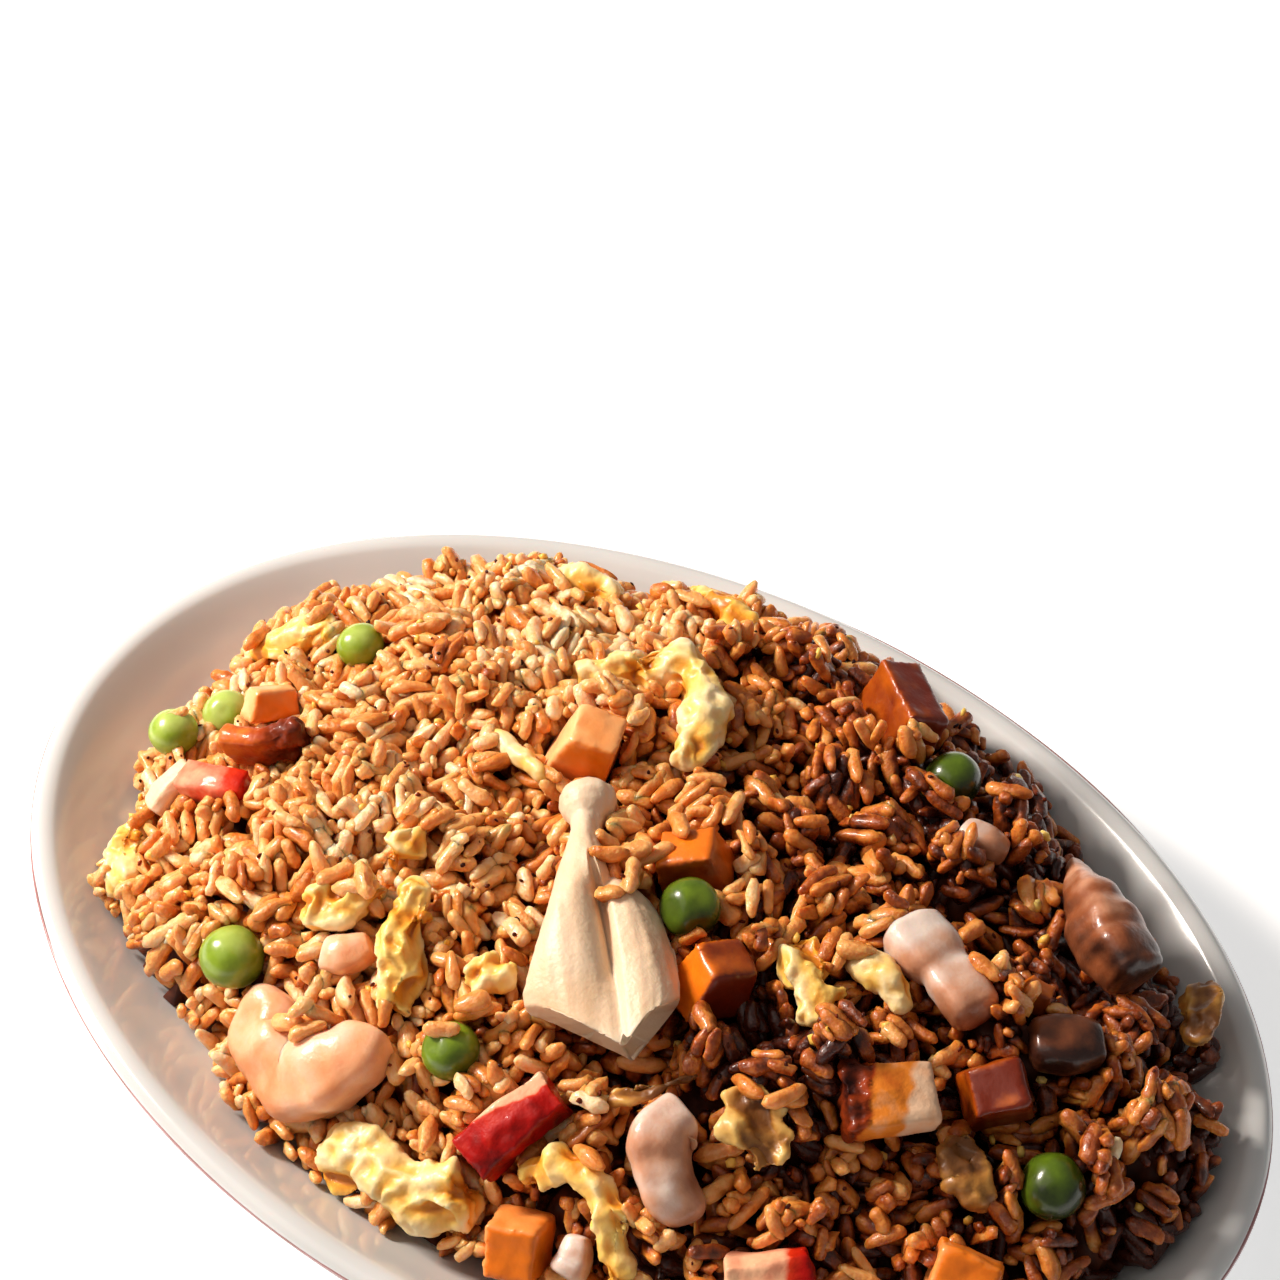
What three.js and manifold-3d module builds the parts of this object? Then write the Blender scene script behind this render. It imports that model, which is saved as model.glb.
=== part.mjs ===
// A plate of combination fried rice: an oval platter, one heap of rice, and peas, carrot,
// barbecued pork, chicken, prawns and egg bedded in it. Millimetres, +Z up. The origin is under
// the middle of the plate, on the surface it stands on, and +X runs along the plate's length.
import * as THREE from 'three';
import { mergeVertices } from 'three/addons/utils/BufferGeometryUtils.js';
import Module from 'manifold-3d';

const wasm = await Module();
wasm.setup();

// Plate, from outside edge to outside edge
const plateHalfLength = 102;
const plateHalfWidth = 72;
const plateSides = 44;
// Inset from the edge and height of each ring of the underside, with the foot it stands on
const plateUnderside = [[42, 2.5], [40.5, 0], [36, 0], [34.5, 2.2], [24, 6.5], [12, 13], [4, 19.5]];
const plateLip = [[0.8, 22], [0, 23.2], [0.3, 24.2], [1.5, 25], [3.2, 24.8], [4.8, 23.6]];
const plateInside = [[9, 19.6], [14, 15.4], [20, 11.6], [26, 9.1], [32, 7.8], [38, 7.3]];
const plateMiddle = 7;

// Heap of rice
const heapCentre = [2, 3];
const heapHalfLength = 91;
const heapHalfWidth = 61;
const heapRise = 29;
const heapBase = 15;
const heapFlank = 2.4;
const heapShoulder = 0.55;
const heapRings = 23;
const heapLump = 0.9;
const lumpSizes = [8.5, 7.1, 4.6, 5.3];
const skirtDepth = 3;
// Swell of the heap's outline: share of its reach, waves round it, where the first wave starts
const edgeWaves = [[0.018, 3, 2.1], [0.014, 5, 0.4], [0.012, 11, 1.3]];
// Distance over which the heap's slope is taken
const slopeSpan = 10;

// One grain, as a bump on the heap
const grainLength = 9;
const grainWidth = 3.4;
const grainRelief = 2.2;
const grainCount = 520;

// Clear space between pieces that touch, and how far a pocket opens above its piece
const gap = 0.35;
const pocketOpening = 26;
const pocketSides = 6;
const pocketLength = 13;

// Repeatable random numbers between 0 and 1
function seeded(seed) {
  let state = seed;
  return () => {
    state = (state * 1664525 + 1013904223) % 4294967296;
    return state / 4294967296;
  };
}

// Row of a table at one value of its first column, blended from the rows on either side
function rowAt(table, value) {
  let index = 1;
  while (index < table.length - 1 && table[index][0] < value) {
    index += 1;
  }
  const low = table[index - 1];
  const high = table[index];
  const share = THREE.MathUtils.clamp((value - low[0]) / (high[0] - low[0]), 0, 1);
  return low.slice(1).map((entry, column) => entry + share * (high[column + 1] - entry));
}

// Inset of a place from the plate's edge, found by halving
function insetAt(x, y) {
  let low = 0;
  let high = plateHalfWidth - 1;
  for (let step = 0; step < 24; step += 1) {
    const middle = (low + high) / 2;
    const reach = (x / (plateHalfLength - middle)) ** 2 + (y / (plateHalfWidth - middle)) ** 2;
    if (reach < 1) {
      low = middle;
    } else {
      high = middle;
    }
  }
  return (low + high) / 2;
}

function plateHeight(x, y) {
  return rowAt([plateLip.at(-1), ...plateInside], insetAt(x, y))[0];
}

// How far the heap's edge swells out or in along each direction
function edgeSwell(angle) {
  return edgeWaves.reduce((sum, [share, waves, start]) => sum + share * Math.sin(waves * angle + start), 1);
}

// Broad lumps of the heap
function lump(x, y) {
  const [wide, deep, slant, cross] = lumpSizes;
  const broad = Math.sin(x / wide + 0.7) * Math.cos(y / deep + 0.2);
  const fine = Math.sin((x + y) / slant + 1.9) * Math.cos((x - y) / cross);
  return heapLump * (broad + 0.6 * fine);
}

// Share of the way from the heap's middle to its edge
function heapReach(x, y) {
  const across = (x - heapCentre[0]) / heapHalfLength;
  const along = (y - heapCentre[1]) / heapHalfWidth;
  return Math.hypot(across, along) / edgeSwell(Math.atan2(along, across));
}

// Top of the heap without its grains
function heapHeight(x, y) {
  const reach = heapReach(x, y);
  const stretch = 1 / Math.max(reach, 1e-6);
  const edgeX = heapCentre[0] + (x - heapCentre[0]) * stretch;
  const edgeY = heapCentre[1] + (y - heapCentre[1]) * stretch;
  const blend = Math.min(reach, 1) ** 2;
  const base = plateHeight(edgeX, edgeY) * blend + heapBase * (1 - blend);
  const rise = Math.max(1 - reach ** heapFlank, 0) ** heapShoulder;
  return base + heapRise * rise + lump(x, y) * Math.min(1, 3 * rise);
}

// Upward direction of the heap, taken over a few millimetres
function heapNormal(x, y) {
  const step = slopeSpan / 2;
  const slopeX = (heapHeight(x + step, y) - heapHeight(x - step, y)) / slopeSpan;
  const slopeY = (heapHeight(x, y + step) - heapHeight(x, y - step)) / slopeSpan;
  return new THREE.Vector3(-slopeX, -slopeY, 1).normalize();
}

// Geometry from points and triangles
function facets(points, faces) {
  const geometry = new THREE.BufferGeometry();
  geometry.setAttribute('position', new THREE.Float32BufferAttribute(points.flat(), 3));
  geometry.setIndex(faces);
  return geometry;
}

// Closed skin over rings of equal count, with a fan at each end
function skin(first, rings, last) {
  const count = rings[0].length;
  const faces = [];
  const end = 1 + rings.length * count;
  for (let i = 0; i < count; i += 1) {
    const j = (i + 1) % count;
    faces.push(0, 1 + j, 1 + i);
    for (let low = 1; low + count < end; low += count) {
      const high = low + count;
      faces.push(low + i, low + j, high + i);
      faces.push(low + j, high + j, high + i);
    }
    faces.push(end - count + i, end - count + j, end);
  }
  return facets([first, ...rings.flat(), last], faces);
}

function ovalRing(inset, height) {
  const ring = [];
  for (let i = 0; i < plateSides; i += 1) {
    const angle = (2 * Math.PI * i) / plateSides;
    const x = (plateHalfLength - inset) * Math.cos(angle);
    const y = (plateHalfWidth - inset) * Math.sin(angle);
    ring.push([x, y, height]);
  }
  return ring;
}

function plateGeometry() {
  const path = [...plateUnderside, ...plateLip, ...plateInside];
  const rings = path.map(([inset, height]) => ovalRing(inset, height));
  return skin([0, 0, plateUnderside[0][1]], rings, [0, 0, plateMiddle]);
}

function toSolid(geometry) {
  const merged = geometry.index ? geometry : mergeVertices(geometry);
  const mesh = new wasm.Mesh({
    numProp: 3,
    vertProperties: Float32Array.from(merged.attributes.position.array),
    triVerts: Uint32Array.from(merged.index.array),
  });
  return new wasm.Manifold(mesh);
}

// The largest closed body of a solid, as geometry, without loose scraps
function toGeometry(solid) {
  const mesh = solid.getMesh();
  const root = Array.from({ length: mesh.numVert }, (_, i) => i);
  const find = (i) => {
    let top = i;
    while (root[top] !== top) {
      root[top] = root[root[top]];
      top = root[top];
    }
    return top;
  };
  for (let t = 0; t < mesh.triVerts.length; t += 3) {
    root[find(mesh.triVerts[t + 1])] = find(mesh.triVerts[t]);
    root[find(mesh.triVerts[t + 2])] = find(mesh.triVerts[t]);
  }
  const sizes = new Map();
  mesh.triVerts.forEach((i) => sizes.set(find(i), (sizes.get(find(i)) ?? 0) + 1));
  const largest = [...sizes.entries()].sort((a, b) => b[1] - a[1])[0][0];
  const faces = mesh.triVerts.filter((i) => find(i) === largest);
  const geometry = new THREE.BufferGeometry();
  geometry.setAttribute('position', new THREE.Float32BufferAttribute(mesh.vertProperties, 3));
  geometry.setIndex([...faces]);
  return geometry;
}

// Space over the plate that food can fill
function plateSpace() {
  const inside = plateInside.filter((_, i) => i % 2 === 0).reverse();
  const brim = plateLip.at(-1);
  const ceiling = heapBase + 3 * heapRise;
  const rings = [...inside, brim].map(([inset, height]) => ovalRing(inset, height + gap + 0.1));
  rings.push(ovalRing(brim[0], ceiling));
  return toSolid(skin([0, 0, plateMiddle + gap], rings, [0, 0, ceiling]));
}

// Grains lying on the heap: place, direction and how proud each one is
function scatterGrains() {
  const random = seeded(7);
  const grains = [];
  for (let i = 0; i < grainCount; i += 1) {
    const reach = Math.sqrt(random());
    const angle = 2 * Math.PI * random();
    const x = heapCentre[0] + heapHalfLength * reach * Math.cos(angle);
    const y = heapCentre[1] + heapHalfWidth * reach * Math.sin(angle);
    grains.push({ x, y, turn: Math.PI * random(), proud: 0.35 + 0.65 * random() });
  }
  return grains;
}

// Height of the grains over the bare heap
function grainHeight(grains, x, y) {
  let top = 0;
  grains.forEach((grain) => {
    const dx = x - grain.x;
    const dy = y - grain.y;
    const along = (dx * Math.cos(grain.turn) + dy * Math.sin(grain.turn)) / (grainLength / 2);
    const across = (dy * Math.cos(grain.turn) - dx * Math.sin(grain.turn)) / (grainWidth / 2);
    const inside = 1 - along * along - across * across;
    if (inside > 0) {
      top = Math.max(top, grain.proud * Math.sqrt(inside));
    }
  });
  return grainRelief * top;
}

// Heap with grain bumps on top, on rings of 6, 12, 18 and so on points, closer near the edge
function heapSolid() {
  const grains = scatterGrains();
  const random = seeded(21);
  const points = [[heapCentre[0], heapCentre[1], heapHeight(...heapCentre)]];
  const faces = [];
  for (let k = 1; k <= heapRings; k += 1) {
    const share = k / heapRings;
    const reach = 0.4 * Math.sin((Math.PI / 2) * share) + 0.6 * share;
    for (let i = 0; i < 6 * k; i += 1) {
      const angle = (2 * Math.PI * (i + 0.3 * random())) / (6 * k);
      const spread = reach * edgeSwell(angle);
      const x = heapCentre[0] + heapHalfLength * spread * Math.cos(angle);
      const y = heapCentre[1] + heapHalfWidth * spread * Math.sin(angle);
      const place = new THREE.Vector3(x, y, heapHeight(x, y));
      place.addScaledVector(heapNormal(x, y), grainHeight(grains, x, y));
      if (k === heapRings) {
        place.z = plateHeight(x, y) - skirtDepth;
      }
      points.push(place.toArray());
    }
    const outer = 1 + 3 * k * (k - 1);
    const inner = 1 + 3 * (k - 1) * (k - 2);
    for (let sector = 0; sector < 6; sector += 1) {
      for (let i = 0; i < k; i += 1) {
        const outA = outer + sector * k + i;
        const outB = outer + ((sector * k + i + 1) % (6 * k));
        const inA = k === 1 ? 0 : inner + ((sector * (k - 1) + i) % (6 * (k - 1)));
        faces.push(inA, outA, outB);
        if (i < k - 1) {
          const inB = inner + ((sector * (k - 1) + i + 1) % (6 * (k - 1)));
          faces.push(inA, outB, inB);
        }
      }
    }
  }
  const rim = points.length - 6 * heapRings;
  const floor = points.length;
  for (let i = 0; i < 6 * heapRings; i += 1) {
    points.push([points[rim + i][0], points[rim + i][1], 0]);
  }
  const middle = points.length;
  points.push([heapCentre[0], heapCentre[1], 0]);
  for (let i = 0; i < 6 * heapRings; i += 1) {
    const j = (i + 1) % (6 * heapRings);
    faces.push(rim + i, floor + i, floor + j);
    faces.push(rim + i, floor + j, rim + j);
    faces.push(middle, floor + j, floor + i);
  }
  return toSolid(facets(points, faces));
}

// Pocket that opens upwards round some points: a prism with a pair of sides along the piece
function pocket(points, up, along) {
  const side = along.clone().addScaledVector(up, -up.dot(along)).normalize();
  const other = new THREE.Vector3().crossVectors(up, side);
  const half = Math.PI / pocketSides;
  const reaches = [];
  for (let i = 0; i < pocketSides; i += 1) {
    const angle = (2 * i + 1) * half;
    const outward = side.clone().multiplyScalar(Math.cos(angle));
    outward.addScaledVector(other, Math.sin(angle));
    reaches.push(Math.max(...points.map((point) => point.dot(outward))) + gap);
  }
  const corners = reaches.map((reach, i) => {
    const next = reaches[(i + 1) % pocketSides];
    const angle = (2 * i + 2) * half;
    const far = (reach + next) / (2 * Math.cos(half));
    const shift = (next - reach) / (2 * Math.sin(half));
    const u = far * Math.cos(angle) - shift * Math.sin(angle);
    const v = far * Math.sin(angle) + shift * Math.cos(angle);
    return side.clone().multiplyScalar(u).addScaledVector(other, v);
  });
  const bottom = Math.min(...points.map((point) => point.dot(up))) - gap;
  const top = Math.max(...points.map((point) => point.dot(up))) + pocketOpening;
  const ring = (level) => corners.map((corner) => corner.clone().addScaledVector(up, level).toArray());
  const centre = corners.reduce((sum, corner) => sum.add(corner), new THREE.Vector3());
  centre.divideScalar(pocketSides);
  const hub = (level) => centre.clone().addScaledVector(up, level).toArray();
  return toSolid(skin(hub(bottom), [ring(bottom), ring(top)], hub(top)));
}

// Path over the heap through places of x, y and lift, with the upward direction at each step
function heapPath(places, steps) {
  const points = places.map(([x, y, lift]) => {
    const bed = new THREE.Vector3(x, y, heapHeight(x, y));
    return bed.addScaledVector(heapNormal(x, y), lift);
  });
  const curve = new THREE.CatmullRomCurve3(points);
  return Array.from({ length: steps }, (_, i) => {
    const share = i / (steps - 1);
    const centre = curve.getPointAt(share);
    const along = curve.getTangentAt(share);
    const up = heapNormal(centre.x, centre.y);
    const across = new THREE.Vector3().crossVectors(up, along).normalize();
    up.crossVectors(along, across);
    return { share, centre, along, across, up };
  });
}

// Piece drawn out along a path: form gives the half width, half height, squareness and groove
function drawnOut(places, form, steps, sides) {
  const path = heapPath(places, steps);
  const rings = path.map((stop) => {
    const { wide, high, square = 0, groove = 0, side = 0, raise = 0 } = form(stop.share);
    const ring = [];
    for (let i = 0; i < sides; i += 1) {
      const angle = (2 * Math.PI * i) / sides;
      const corner = 1 + square * Math.abs(Math.sin(2 * angle)) ** 2;
      const dip = groove * Math.max(0, Math.sin(angle)) ** 12;
      const point = stop.centre.clone();
      point.addScaledVector(stop.across, side + wide * corner * Math.cos(angle));
      point.addScaledVector(stop.up, raise + high * corner * Math.sin(angle) * (1 - dip));
      ring.push(point.toArray());
    }
    return ring;
  });
  const start = path[0].centre.clone().addScaledVector(path[0].along, -form(0).cap).toArray();
  const end = path.at(-1).centre.clone().addScaledVector(path.at(-1).along, form(1).cap).toArray();
  return { geometry: skin(start, rings, end), rings, path, start, end };
}

const dish = new THREE.Group();
const pockets = [];

function finish(color, roughness) {
  return new THREE.MeshStandardMaterial({ color, roughness, metalness: 0 });
}

const glaze = finish('#ece5dc', 0.15);
const riceFinish = finish('#c68a4c', 0.45);
const peaFinish = finish('#4c8a1e', 0.3);
const carrotFinish = finish('#e2712a', 0.35);
const porkFinish = finish('#a82a1c', 0.3);
const porkMeatFinish = finish('#d9977a', 0.45);
const chickenFinish = finish('#ecd3b4', 0.55);
const prawnFinish = finish('#e3ab94', 0.3);
const eggFinish = finish('#efd27a', 0.55);
const friedEggFinish = finish('#b98445', 0.6);

// Adds a piece whose geometry is where it lies, as a mesh placed by its middle
function addPiece(name, geometry, material) {
  geometry.computeBoundingBox();
  const middle = geometry.boundingBox.getCenter(new THREE.Vector3());
  geometry.translate(-middle.x, -middle.y, -middle.z);
  geometry.computeVertexNormals();
  const mesh = new THREE.Mesh(geometry, material);
  mesh.name = name;
  mesh.position.copy(middle);
  dish.add(mesh);
}

// Adds a lump of food on the heap: its own geometry, sunk or lifted, turned and tipped
function addLump(name, geometry, material, [x, y, lift], turn = 0, tip = 0) {
  const up = heapNormal(x, y);
  const mesh = new THREE.Mesh(geometry, material);
  mesh.name = name;
  mesh.position.set(x, y, heapHeight(x, y)).addScaledVector(up, lift);
  mesh.quaternion.setFromUnitVectors(new THREE.Vector3(0, 0, 1), up);
  mesh.rotateZ(THREE.MathUtils.degToRad(turn));
  mesh.rotateY(THREE.MathUtils.degToRad(tip));
  mesh.updateMatrix();
  dish.add(mesh);
  const positions = geometry.attributes.position;
  const points = Array.from({ length: positions.count }, (_, i) => (
    new THREE.Vector3().fromBufferAttribute(positions, i).applyMatrix4(mesh.matrix)
  ));
  const along = new THREE.Vector3(1, 0, 0).applyQuaternion(mesh.quaternion);
  pockets.push(pocket(points, up, along));
}

// Adds a piece drawn out along a path over the heap, in a row of pockets
function addDrawn(name, material, places, form, steps, sides) {
  const { geometry, rings, path, start, end } = drawnOut(places, form, steps, sides);
  addPiece(name, geometry, material);
  const strides = path.slice(1).map((stop, i) => stop.centre.distanceTo(path[i].centre));
  const length = strides.reduce((sum, distance) => sum + distance, 0);
  const stride = Math.ceil((steps - 1) / Math.max(1, Math.round(length / pocketLength)));
  for (let from = 0; from < steps - 1; from += stride) {
    const to = Math.min(from + stride, steps - 1);
    const group = rings.slice(from, to + 1).flat();
    if (from === 0) {
      group.push(start);
    }
    if (to === steps - 1) {
      group.push(end);
    }
    const along = path[to].centre.clone().sub(path[from].centre);
    const middle = path[from].centre.clone().lerp(path[to].centre, 0.5);
    const points = group.map((point) => new THREE.Vector3(...point));
    pockets.push(pocket(points, heapNormal(middle.x, middle.y), along));
  }
}

// Peas: x, y, lift of the middle over the bare heap, diameter
const peas = [
  [-72.6, -17.2, 3, 8.2],
  [-70.2, -9.8, 0.2, 8.2],
  [-58.7, 9.7, 0.6, 8],
  [-36.1, -44.1, 1.8, 9.8],
  [1.9, -41.1, 0.8, 8.8],
  [17.9, -7.8, 3, 9.3],
  [31.6, 40.6, 0.6, 9.2],
  [78.1, -9, 2, 9.6],
];

function peaGeometry(diameter) {
  const geometry = new THREE.IcosahedronGeometry(diameter / 2, 1);
  geometry.deleteAttribute('normal');
  geometry.deleteAttribute('uv');
  geometry.scale(1, 0.97, 0.93);
  return mergeVertices(geometry);
}

peas.forEach(([x, y, lift, diameter], i) => {
  addLump(`pea_${i + 1}`, peaGeometry(diameter), peaFinish, [x, y, lift], 40 * i);
});

// Cut block with six faces: length, width, height, share of its length and width left at the
// top, and how far the top leans along the length
function block(length, width, height, taper, lean) {
  const points = [];
  for (const level of [-1, 1]) {
    const share = level > 0 ? taper : 1;
    for (const [u, v] of [[-1, -1], [1, -1], [1, 1], [-1, 1]]) {
      const x = (u * share * length) / 2 + (level * lean) / 2;
      points.push([x, (v * share * width) / 2, (level * height) / 2]);
    }
  }
  const faces = [0, 2, 1, 0, 3, 2, 4, 5, 6, 4, 6, 7];
  for (let i = 0; i < 4; i += 1) {
    const j = (i + 1) % 4;
    faces.push(i, j, j + 4, i, j + 4, i + 4);
  }
  return facets(points, faces);
}

// Carrot: x, y, lift, turn, tip, then the block
const carrots = [
  [-12.4, 8.6, 1.8, 20, 12, 10, 9.6, 11, 0.75, 2],
  [13, -0.2, 0.2, 30, -20, 10, 8, 8, 0.85, 0],
  [27, -14, 1, 60, 18, 9.6, 8.6, 8.6, 0.75, 1],
  [18.4, 46.6, 1.2, -35, 8, 14, 7.6, 9.6, 0.94, 0],
  [66.4, -4.4, 0.8, 50, -15, 9.6, 8.4, 9, 0.78, 1],
  [23.2, -52.4, 2, 20, 10, 8, 8.2, 8.2, 0.92, 0],
  [75.2, -25.8, 1.2, 15, -8, 9.5, 8.6, 8, 0.9, 0],
  [-61.6, -7.4, 1.6, 75, 25, 9, 4.4, 5, 0.8, 0],
  [62.9, 11.6, 0.8, 10, 0, 5, 4, 4, 0.8, 0],
];

carrots.forEach(([x, y, lift, turn, tip, ...size], i) => {
  addLump(`carrot_${i + 1}`, block(...size), carrotFinish, [x, y, lift], turn, tip);
});

// Plump piece of meat with rounded edges and flat cut ends
function meatForm(wide, high, taper) {
  return (share) => ({
    wide: wide * (1 - taper * share),
    high: high * (1 - 0.6 * taper * share),
    square: 0.22,
    cap: 0.3,
  });
}

// Barbecued pork: material, places of x, y and lift along the piece, half width, half height
const porks = [
  [porkFinish, [[12.6, -48.6, 2], [15.6, -43, 2], [18, -38, 1.2]], 3.9, 3.5],
  [porkMeatFinish, [[50, -43, 1.8], [54.3, -39.6, 2], [58.4, -35.9, 1.6]], 3.4, 3.2],
  [porkFinish, [[51.2, -18.6, 1.8], [55.4, -15, 2.6], [59.9, -10.6, 1.8]], 5.2, 3.8],
  [porkFinish, [[-60.4, -17.2, 3], [-54.6, -15.6, 3.2], [-50, -11.6, 2.6]], 2, 3.6],
  [porkMeatFinish, [[-64, -23.9, 1.4], [-58.5, -23.6, 1.8], [-53.8, -22, 1.2]], 2.8, 2.6],
];

porks.forEach(([material, places, wide, high], i) => {
  addDrawn(`barbecued_pork_${i + 1}`, material, places, meatForm(wide, high, 0.12), 5, 8);
});

// Large piece of chicken, from its round knob over a thin neck to the pointed cut end.
// Share of the length, half width, half height, groove along the top, shift to the right
const chickenPlaces = [[-7.4, 1.4, 2.6], [5.6, -13.8, 3.4], [20, -28.6, 3]];
const chickenTip = 4.5;
const chickenRows = [
  [0, 2.4, 2.2, 0, 0],
  [0.06, 4, 3.8, 0, 0],
  [0.11, 4.3, 4.2, 0, 0],
  [0.16, 3.4, 3.6, 0, 0],
  [0.22, 2.4, 2.8, 0, -0.3],
  [0.32, 3.2, 3.2, 0, -0.8],
  [0.45, 5.6, 3.9, 0.1, -0.8],
  [0.56, 8.6, 4, 0.5, -0.6],
  [0.7, 10.4, 3.8, 0.45, -0.6],
  [0.88, 10.6, 3.5, 0.3, -0.6],
  [1, 8.2, 3, 0.2, 0],
];

function chickenForm(share) {
  const [wide, high, groove, side] = rowAt(chickenRows, share);
  const square = share > 0.5 ? 0.18 : 0;
  return { wide, high, groove, side, square, cap: share < 0.5 ? 0.8 : chickenTip };
}

addDrawn('chicken_1', chickenFinish, chickenPlaces, chickenForm, 18, 12);

// Thin strip of chicken at the left edge
const stripPlaces = [[-68, -28.4, 1], [-67.2, -25, 1.4], [-66.6, -21.4, 1]];
const stripForm = (share) => ({ wide: 3 - share, high: 1.7, square: 0.15, cap: 0.4 });
addDrawn('chicken_2', chickenFinish, stripPlaces, stripForm, 5, 8);

// Prawn: thick head end, shell rings and a tail that narrows
const shellRings = 5;
const shellRelief = 0.04;

function prawnForm(wide, high, tail) {
  return (share) => {
    const body = Math.sin(Math.PI * (0.2 + 0.65 * share)) ** 0.4;
    const narrow = 1 - (1 - tail) * share ** 1.5;
    const ring = 1 + shellRelief * Math.cos(2 * Math.PI * shellRings * share);
    const size = body * narrow * ring;
    return { wide: wide * size, high: high * size, cap: 1 };
  };
}

// Half width, half height, share left at the tail, steps, places along each prawn
const prawns = [
  [5.3, 4.5, 1.22, 13, [
    [-26, -44.6, 1.6], [-25.4, -50.4, 2.2], [-17, -53, 2.6], [-10.6, -49, 2.8], [-10.8, -44, 2.2],
  ]],
  [3.4, 3, 0.8, 6, [[-23.6, -39.2, 1.4], [-20, -37.8, 2], [-17.6, -34.6, 1.4]]],
  [4.8, 4.2, 0.85, 9, [[43.6, 8.6, 1.6], [50.8, 5.7, 2.4], [60, 1.6, 1.8]]],
  [3.8, 4, 1.5, 10, [[52.6, 40.4, 1.8], [60, 33, 3], [67, 27.4, 3.2], [73, 24, 2.4]]],
  [4.5, 4.2, 0.7, 10, [[35, -31.4, 1], [34.4, -36, 1.8], [37.6, -40, 2.2], [43, -41.6, 1.4]]],
  [3.6, 3.2, 0.9, 7, [[66.8, 4.4, 0.4], [70.4, 7, 1], [74, 10.4, 0.4]]],
  [2.5, 2.6, 0.9, 6, [[31.2, -53.4, 1.2], [31, -51, 1.4], [30, -49, 0.8]]],
  [3, 2.6, 0.8, 6, [[39, 31.3, 0.8], [42.6, 31.6, 1.2], [46, 32.5, 0.6]]],
];

prawns.forEach(([wide, high, tail, steps, places], i) => {
  addDrawn(`prawn_${i + 1}`, prawnFinish, places, prawnForm(wide, high, tail), steps, 8);
});

// Scrambled egg: a fold whose width, height and place come and go from knot to knot along it
const eggKnots = 8;

function eggForm(wide, high, seed) {
  const random = seeded(seed);
  const spacing = 1 / (eggKnots - 1);
  const knots = Array.from({ length: eggKnots }, (_, i) => [i * spacing, random(), random(), random() - 0.5]);
  return (share) => {
    const [broad, thick, wander] = rowAt(knots, share);
    const end = 0.75 + 0.25 * Math.sin(Math.PI * share);
    return {
      wide: wide * end * (0.7 + 0.6 * broad),
      high: high * end * (0.7 + 0.6 * thick),
      side: 0.5 * wide * wander,
      raise: 0.3 * high * wander,
      cap: 0.8,
    };
  };
}

// Material, half width, half height, steps, places along each curd
const eggs = [
  [eggFinish, 4.2, 3.2, 7, [[-75.6, 4.6, 1.2], [-70.3, 7.9, 2], [-65.6, 10.8, 1]]],
  [eggFinish, 3.6, 3.2, 7, [[-69, -30.6, 1.2], [-66.4, -35.6, 1.6], [-63, -40, 0.8]]],
  [eggFinish, 4, 3.4, 6, [[-28, -35, 1.4], [-25, -31.7, 2.2], [-22.9, -27.6, 1.4]]],
  [eggFinish, 3.4, 3.2, 8, [[-16.3, -25.2, 1.8], [-14.4, -31.2, 2.2], [-11.4, -36, 1.2], [-9.2, -40.6, 0.6]]],
  [eggFinish, 3.4, 2.9, 12, [
    [-23.1, 20.4, 0.8], [-18.8, 23.8, 1.6], [-13.6, 27.6, 2.6], [-7.4, 29, 2.4], [-2, 23, 2.4], [1, 13.7, 2],
  ]],
  [eggFinish, 3.4, 2.6, 6, [[-23.6, 50.2, 1], [-15.9, 47.8, 1.8], [-9.5, 45.1, 1]]],
  [eggFinish, 1.4, 1.3, 8, [[-31, 5.6, 1.2], [-24.4, 3.2, 1.4], [-18.6, 1.4, 1.2], [-14.4, 0.4, 1.2]]],
  [eggFinish, 3, 2.4, 5, [[-1.8, -30.9, 1], [3, -30.8, 1.4]]],
  [eggFinish, 3.2, 2.8, 8, [[33, -2.2, 1.8], [38, -7.4, 2.6], [43.1, -11.3, 1.8]]],
  [eggFinish, 2.2, 1.8, 6, [[40.6, 0, 1.4], [44.6, -0.4, 1.8], [50.4, -2, 1.2]]],
  [friedEggFinish, 4.2, 1.4, 6, [[39.4, -24.4, 2.4], [43.4, -27, 3.2], [48, -29.4, 2.6]]],
  [friedEggFinish, 1.5, 1.1, 6, [[25.4, -35.8, 0], [29, -31.8, 0.4], [33, -27, 0.4]]],
  [eggFinish, 5, 3.2, 10, [[-7.6, -56.6, 1.4], [-1.8, -54.4, 2.4], [6, -53.8, 3], [15, -51.6, 2.2]]],
  [eggFinish, 2.8, 2.5, 12, [
    [19.4, -47.4, 1.6], [23.6, -44.4, 2.4], [29.6, -44, 2.4], [35.6, -47.6, 2.2], [38.4, -52, 2],
  ]],
  [friedEggFinish, 3.2, 2.2, 6, [[65.2, -15, 0.8], [69.2, -14.4, 1.6], [71.8, -16.8, 0.8]]],
  [eggFinish, 3, 2.2, 6, [[-43.4, 42, 0.8], [-37.7, 41.8, 1.2], [-32.7, 42.7, 0.8]]],
  [friedEggFinish, 1.2, 3.4, 6, [[76.6, 31.6, 2.6], [79, 28, 3], [81, 24.4, 2.4]]],
  [eggFinish, 2.8, 2.2, 5, [[-25.2, -22.1, 0.8], [-20.6, -20.2, 1.4]]],
];

eggs.forEach(([material, wide, high, steps, places], i) => {
  addDrawn(`egg_${i + 1}`, material, places, eggForm(wide, high, 100 + i), steps, 7);
});

addPiece('plate', plateGeometry(), glaze);

const bareHeap = heapSolid().intersect(plateSpace());
const bedded = pockets.reduce((heap, hollow) => heap.subtract(hollow), bareHeap);
addPiece('rice', toGeometry(bedded), riceFinish);

export default dish;
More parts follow.
